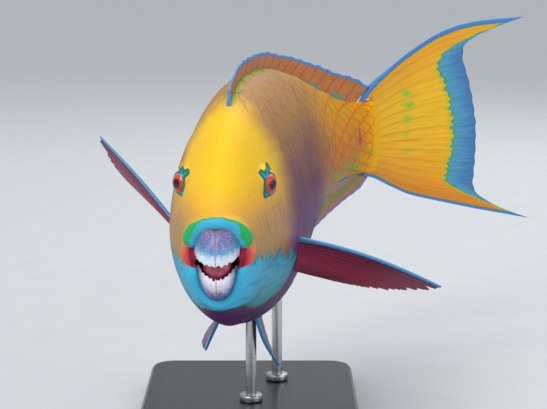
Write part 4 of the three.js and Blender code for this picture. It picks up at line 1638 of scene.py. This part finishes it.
    def edges(self, place: Form) -> Marker:
        """Marks for a fin that carries its margin's colour on its outer and its leading edge."""

        def at(across: Array, along: Array) -> Marks:
            """Distances from the edges, in millimetres."""
            out, lead = measured(place(across, along))
            return {"edge": np.minimum(out, lead), "lead": lead}

        return at

    def tail_marks(self, across: Array, along: Array) -> Marks:
        """Distances from the tail fin's outer edges and beyond its crescent, in millimetres."""
        station, height = self.tail_place(across, along)
        edge = np.where(across > 0.5, self.upper_edge(station), self.lower_edge(station))
        reach = np.abs(2 * across - 1)
        teeth = np.abs(2 * np.mod(across * 28, 1) - 1) * 1.9 + 0.6 * np.sin(across * 61)
        outer = (edge - np.abs(height)) * PLAN.length
        return {
            "edge": np.where(across > 0.5, outer, outer + 1.0),
            "beyond": (along - self.crescent(reach)) * 0.27 * PLAN.length - teeth,
            "station": station,
            "level": height,
        }

    def tail_finish(self) -> bpy.types.Material:
        """A yellow fin with a blue crescent, blue outer edges and a column of green spots."""
        ramp = ((0.0, "#DE8210"), (0.14, "#F4A404"), (0.35, "#FFC000"), (0.7, "#FFCA00"), (1.0, "#F4A80C"))
        tree, shader, material, colour = FinFinish(
            "tail fin membrane", ramp, "#D08400", "#3A86D8", "#1F8A5A", 2.4, ray_strength=0.4
        ).start()
        station, level = reading(tree, "station"), reading(tree, "level")
        blot = wander(tree, (330, 330, 330), 2)
        for ahead, height, strength in (
            (1.074, 0.079, 0.9),
            (1.083, 0.053, 0.95),
            (1.08, 0.025, 0.75),
            (1.076, -0.006, 0.35),
            (1.082, -0.042, 0.3),
        ):
            along = sum_of(tree, station, ahead, "SUBTRACT")
            above = sum_of(tree, level, height, "SUBTRACT")
            gap = add_node(tree, "CombineXYZ", {0: along, 1: above})
            shape = add_node(tree, "VectorMath", {0: gap.outputs[0], 1: (0.8, 1.4, 1)}, operation="MULTIPLY")
            far = add_node(tree, "VectorMath", {0: shape.outputs[0]}, operation="LENGTH").outputs["Value"]
            far = sum_of(tree, blot, 0.014, "MULTIPLY_ADD", far)
            rim = product(tree, band(tree, far, 0.015, 0.01), strength)
            colour = paint(tree, colour, "#C2CC10", rim)
            heart = product(tree, band(tree, far, 0.009, 0.004), strength * 0.8)
            colour = paint(tree, colour, "#84BE1C", heart)
        wave = wander(tree, (60, 3, 1), 3, "UVMap")
        beyond = sum_of(tree, wave, 5.0, "MULTIPLY_ADD", reading(tree, "beyond"))
        inside = band(tree, reading(tree, "edge"), 2.4, 3.4)
        lime = product(tree, band(tree, beyond, -6.0, -1.0), inside, 0.8)
        colour = paint(tree, colour, "#C8C000", lime)
        colour = paint(tree, colour, "#3C9A38", band(tree, beyond, -1.0, -0.3), inside)
        depth = band(tree, beyond, 0, 18)
        blue = add_node(
            tree, "ValToRGB", {"Fac": depth}, ramp=[(0, "#46A6BC"), (0.3, "#4A9CC8"), (1, "#3A7CB8")]
        )
        dark = product(tree, band(tree, grain(tree, (230, 3, 1), 3, "UVMap"), 0.48, 0.7), 0.45)
        water = paint(tree, blue.outputs[0], "#2C6C9C", dark)
        pale = product(tree, band(tree, grain(tree, (170, 6, 1), 2, "UVMap"), 0.55, 0.72), 0.35)
        water = paint(tree, water, "#7CC0DC", pale)
        colour = paint(tree, colour, water, band(tree, beyond, 0.1, 0.7), inside)
        tree.links.new(colour, shader.inputs["Base Color"])
        return material

    def dorsal_finish(self) -> bpy.types.Material:
        """A rust-orange fin with a blue margin, and blue-green patches at its hind foot."""
        ramp = ((0.0, "#A86A4E"), (0.25, "#BC6E40"), (0.6, "#CC7426"), (1.0, "#C47A24"))
        tree, shader, material, colour = FinFinish(
            "back fin membrane", ramp, "#7E3426", "#3A8CE0", "#2C7C9C", 1.7, 2.8, 0.38
        ).start()
        across, out = own_map(tree)
        blot = wander(tree, (200, 200, 200), 2)
        height = sum_of(tree, blot, 0.12, "MULTIPLY_ADD", out)
        foot = band(tree, height, 0.42, 0.37)
        for place in (0.76, 0.9):
            near = sum_of(tree, across, place, "SUBTRACT")
            far = sum_of(tree, near, 0.0, "ABSOLUTE")
            spot = product(tree, foot, band(tree, far, 0.05, 0.03))
            colour = paint(tree, colour, "#3A9A8E", spot, 0.85)
        line = product(tree, band(tree, height, 0.52, 0.44), band(tree, across, 0.6, 0.35))
        colour = paint(tree, colour, "#5A4A28", line, 0.6)
        line = product(tree, band(tree, height, 0.48, 0.42), band(tree, across, 0.6, 0.35))
        colour = paint(tree, colour, COLOURS.leaf, line, 0.8)
        tree.links.new(colour, shader.inputs["Base Color"])
        return material

    def anal_finish(self) -> bpy.types.Material:
        """A fin striped along its length: blue foot, pink, olive green, brown and a blue margin."""
        ramp = ((0.0, "#B8686C"), (1.0, "#C07460"))
        tree, shader, material, colour = FinFinish(
            "anal fin membrane", ramp, "#94504E", "#3E94DC", "#8A5A5A", 1.3, ray_strength=0.25
        ).start()
        wave = wander(tree, (14, 5, 1), 2, "UVMap")
        along = sum_of(tree, wave, 0.12, "MULTIPLY_ADD", own_map(tree)[1])
        green = product(tree, band(tree, along, 0.5, 0.58), band(tree, along, 0.84, 0.76))
        colour = paint(tree, colour, "#6C8E34", green, 0.85)
        red = product(tree, band(tree, along, 0.62, 0.66), band(tree, along, 0.7, 0.66))
        colour = paint(tree, colour, "#A8604A", red, 0.6)
        colour = paint(tree, colour, "#3C98D4", band(tree, along, 0.47, 0.42))
        tree.links.new(colour, shader.inputs["Base Color"])
        return material

    def build(self) -> None:
        """Makes every fin."""
        red = FinFinish(
            "pectoral fin membrane",
            ((0.0, "#4E1238"), (0.2, "#7E1A42"), (0.6, "#9C2248"), (1.0, "#5E1636")),
            ray="#B83A5A",
            margin="#3C92C8",
            inner="#2C2A66",
            margin_width=1.3,
        )
        plum = FinFinish(
            "pelvic fin membrane",
            ((0.0, "#8A2C74"), (0.4, "#8E2A60"), (1.0, "#5A1A48")),
            ray="#6A1C4A",
            margin="#3FA4E8",
            inner="#2E3A86",
            margin_width=1.2,
            lead_width=2.6,
        )
        made = [
            Fin(
                "back_fin",
                "dorsal_fin",
                "orange_fin",
                19,
                self.dorsal_point,
                self.dorsal_finish,
                scallop=0.03,
                lead_half=1.25,
                marks=self.edges(self.dorsal_point),
            ),
            Fin(
                "under_fin",
                "anal_fin",
                "orange_fin",
                12,
                self.anal_point,
                self.anal_finish,
                marks=self.edges(self.anal_point),
            ),
            Fin(
                "crescent_fin",
                "tail_fin",
                "yellow_fin",
                15,
                self.tail_point,
                self.tail_finish,
                rows=70,
                spread=12,
                root_half=1.8,
                branch=0.5,
                scallop=0.006,
                marks=self.tail_marks,
            ),
        ]
        for side, form in self.pectoral.items():
            place = self.paired_point(*form, sink=5)
            made.append(
                Fin(
                    "side_fin_" + side.name.lower(),
                    "pectoral_fin_" + side.name.lower(),
                    "crimson_fin",
                    14,
                    place,
                    red.plain,
                    rows=44,
                    branch=0.6,
                    fray=0.09,
                    lead_half=0.9,
                    marks=self.lead_marks(place),
                )
            )
        for side, form in self.pelvic.items():
            place = self.paired_point(*form, sink=4)
            made.append(
                Fin(
                    "breast_fin_" + side.name.lower(),
                    "pelvic_fin_" + side.name.lower(),
                    "crimson_fin",
                    6,
                    place,
                    plum.plain,
                    branch=0.5,
                    lead_half=1.1,
                    marks=self.edges(place),
                )
            )
        for fin in made:
            fin.build()

    def lead_marks(self, place: Form) -> Marker:
        """Marks for a fin that carries its margin's colour only on its leading edge."""

        def at(across: Array, along: Array) -> Marks:
            """Distances from the leading edge, in millimetres."""
            return {"edge": measured(place(across, along))[1] - 0.2}

        return at


@dataclass(frozen=True)
class Stand:
    """The display stand: a lacquered base and two steel rods, kept from the solids."""

    collar_radius: float = 6.5
    collar_height: float = 4
    base_height: float = 12

    def lacquer(self) -> bpy.types.Material:
        """Black piano lacquer on wood: deep, satin, with a faint grain under it."""
        tree, shader, material = Finish("satin black lacquer", roughness=0.32, ior=1.5, coat=0.3).start()
        lines = grain(tree, (180, 9, 180), 5)
        colour = add_node(tree, "ValToRGB", {"Fac": lines}, ramp=[(0.35, "#141416"), (0.7, "#232326")])
        tree.links.new(colour.outputs[0], shader.inputs["Base Color"])
        bumped(tree, shader, lines, 0.0002, 0.2)
        return material

    def steel(self) -> bpy.types.Material:
        """Brushed stainless steel: fine scratches round the rod."""
        tree, shader, material = Finish("brushed stainless steel", roughness=0.3, metallic=1.0).start()
        lines = grain(tree, (60, 60, 5200), 2)
        colour = add_node(tree, "ValToRGB", {"Fac": lines}, ramp=[(0.3, "#B4B7BA"), (0.7, "#CFD1D3")])
        tree.links.new(colour.outputs[0], shader.inputs["Base Color"])
        rough = add_node(tree, "MapRange", {0: lines, 3: 0.22, 4: 0.4}).outputs[0]
        tree.links.new(rough, shader.inputs["Roughness"])
        return material

    def build(self) -> None:
        """Dresses the base and the rods, and sets a collar where each rod stands."""
        steel = self.steel()
        objects = {o.name: o for o in bpy.data.objects}
        dress(objects["stand_base"], self.lacquer())
        for end in ("front", "rear"):
            rod = objects["stand_rod_" + end]
            dress(rod, steel)
            low, high = (Vector(c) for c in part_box("stand_rod_" + end))
            middle = (low + high) / 2
            middle.z = (self.base_height + self.collar_height / 2) * MM
            size = {"radius": self.collar_radius * MM, "depth": self.collar_height * MM}
            bpy.ops.mesh.primitive_cylinder_add(vertices=64, location=middle, **size)
            collar = fresh("stand_collar_" + end)
            bpy.ops.object.transform_apply(location=True, rotation=True, scale=True)
            bevel = collar.modifiers.new("edge", "BEVEL")
            bevel.width = 0.9 * MM
            bevel.segments = 3
            bpy.ops.object.modifier_apply(modifier=bevel.name)
            bpy.ops.object.shade_smooth_by_angle(angle=math.radians(40))
            settle(collar, steel, "stand_rod")


@dataclass(frozen=True)
class Studio:
    """The floor, the soft lights and the camera."""

    lens: float = 36 * 1600 / 547
    camera_from_snout: tuple = (26.4, -720, 151.8)
    camera_down: float = math.radians(9.64)

    def build(self) -> None:
        """Sets the floor, the lights and the camera."""
        self.floor()
        middle = (0.0, -0.02, 0.12)
        self.light("key", (-0.7, -1.0, 1.3), middle, 0.9, 12.0, (1.0, 0.97, 0.92))
        self.light("fill", (1.1, -0.6, 0.6), middle, 1.0, 4.0, (0.94, 0.97, 1.0))
        self.light("back", (0.4, 1.1, 1.1), (0.05, 0.1, 0.12), 0.9, 6.0, (1.0, 1.0, 1.0))
        sun = bpy.data.lights.new("skylight", "SUN")
        sun.energy = 0.95
        sun.angle = math.radians(50)
        lamp = put_in_scene("skylight", sun)
        lamp.rotation_euler = (math.radians(18), math.radians(-14), 0)
        world = bpy.data.worlds.new("soft room")
        world.use_nodes = True
        world.node_tree.nodes["Background"].inputs[0].default_value = linear("#E2E6EA")
        world.node_tree.nodes["Background"].inputs[1].default_value = 0.55
        bpy.context.scene.world = world
        bpy.context.scene.view_settings.view_transform = "Standard"
        snout = Vector(PLAN.to_world(np.zeros(3)))
        data = bpy.data.cameras.new("camera")
        data.lens = self.lens
        data.sensor_width = 36
        data.clip_end = 20
        camera = put_in_scene("camera", data)
        camera.location = snout + Vector(self.camera_from_snout) * MM
        camera.rotation_euler = (math.pi / 2 - self.camera_down, 0, 0)
        bpy.context.scene.camera = camera

    def floor(self) -> None:
        """Makes the pale floor, wide enough to meet the room's own tone far off."""
        bpy.ops.mesh.primitive_plane_add(size=60, location=(0, 0, 0))
        floor = fresh("floor")
        tree, shader, material = Finish("pale matt paper", roughness=0.85).start()
        tree.links.new(
            paint(tree, "#C9CDD0", "#D1D4D7", grain(tree, (40, 40, 40), 3)), shader.inputs["Base Color"]
        )
        dress(floor, material)

    def light(self, name: str, at: tuple, towards: tuple, size: float, watts: float, colour: tuple) -> None:
        """Adds a soft square light.

        Args:
            name: Its name.
            at: Where it hangs, in metres.
            towards: What it faces.
            size: Its side, in metres.
            watts: Its power.
            colour: Its linear colour.
        """
        data = bpy.data.lights.new(name, "AREA")
        data.size = size
        data.energy = watts
        data.color = colour
        lamp = put_in_scene(name, data)
        lamp.location = at
        lamp.rotation_euler = (Vector(towards) - Vector(at)).to_track_quat("-Z", "Y").to_euler()


def main() -> None:
    """Builds the fish, its stand and the studio."""
    logging.basicConfig(level=logging.INFO, format="%(message)s")
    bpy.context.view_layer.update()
    Studio().build()
    eyes, mouth = Eyes(), Mouth()
    eyes.build()
    mouth.build()
    Skin(eyes, mouth).build()
    Scales().build()
    Fins().build()
    Stand().build()


if __name__ == "__main__":
    main()
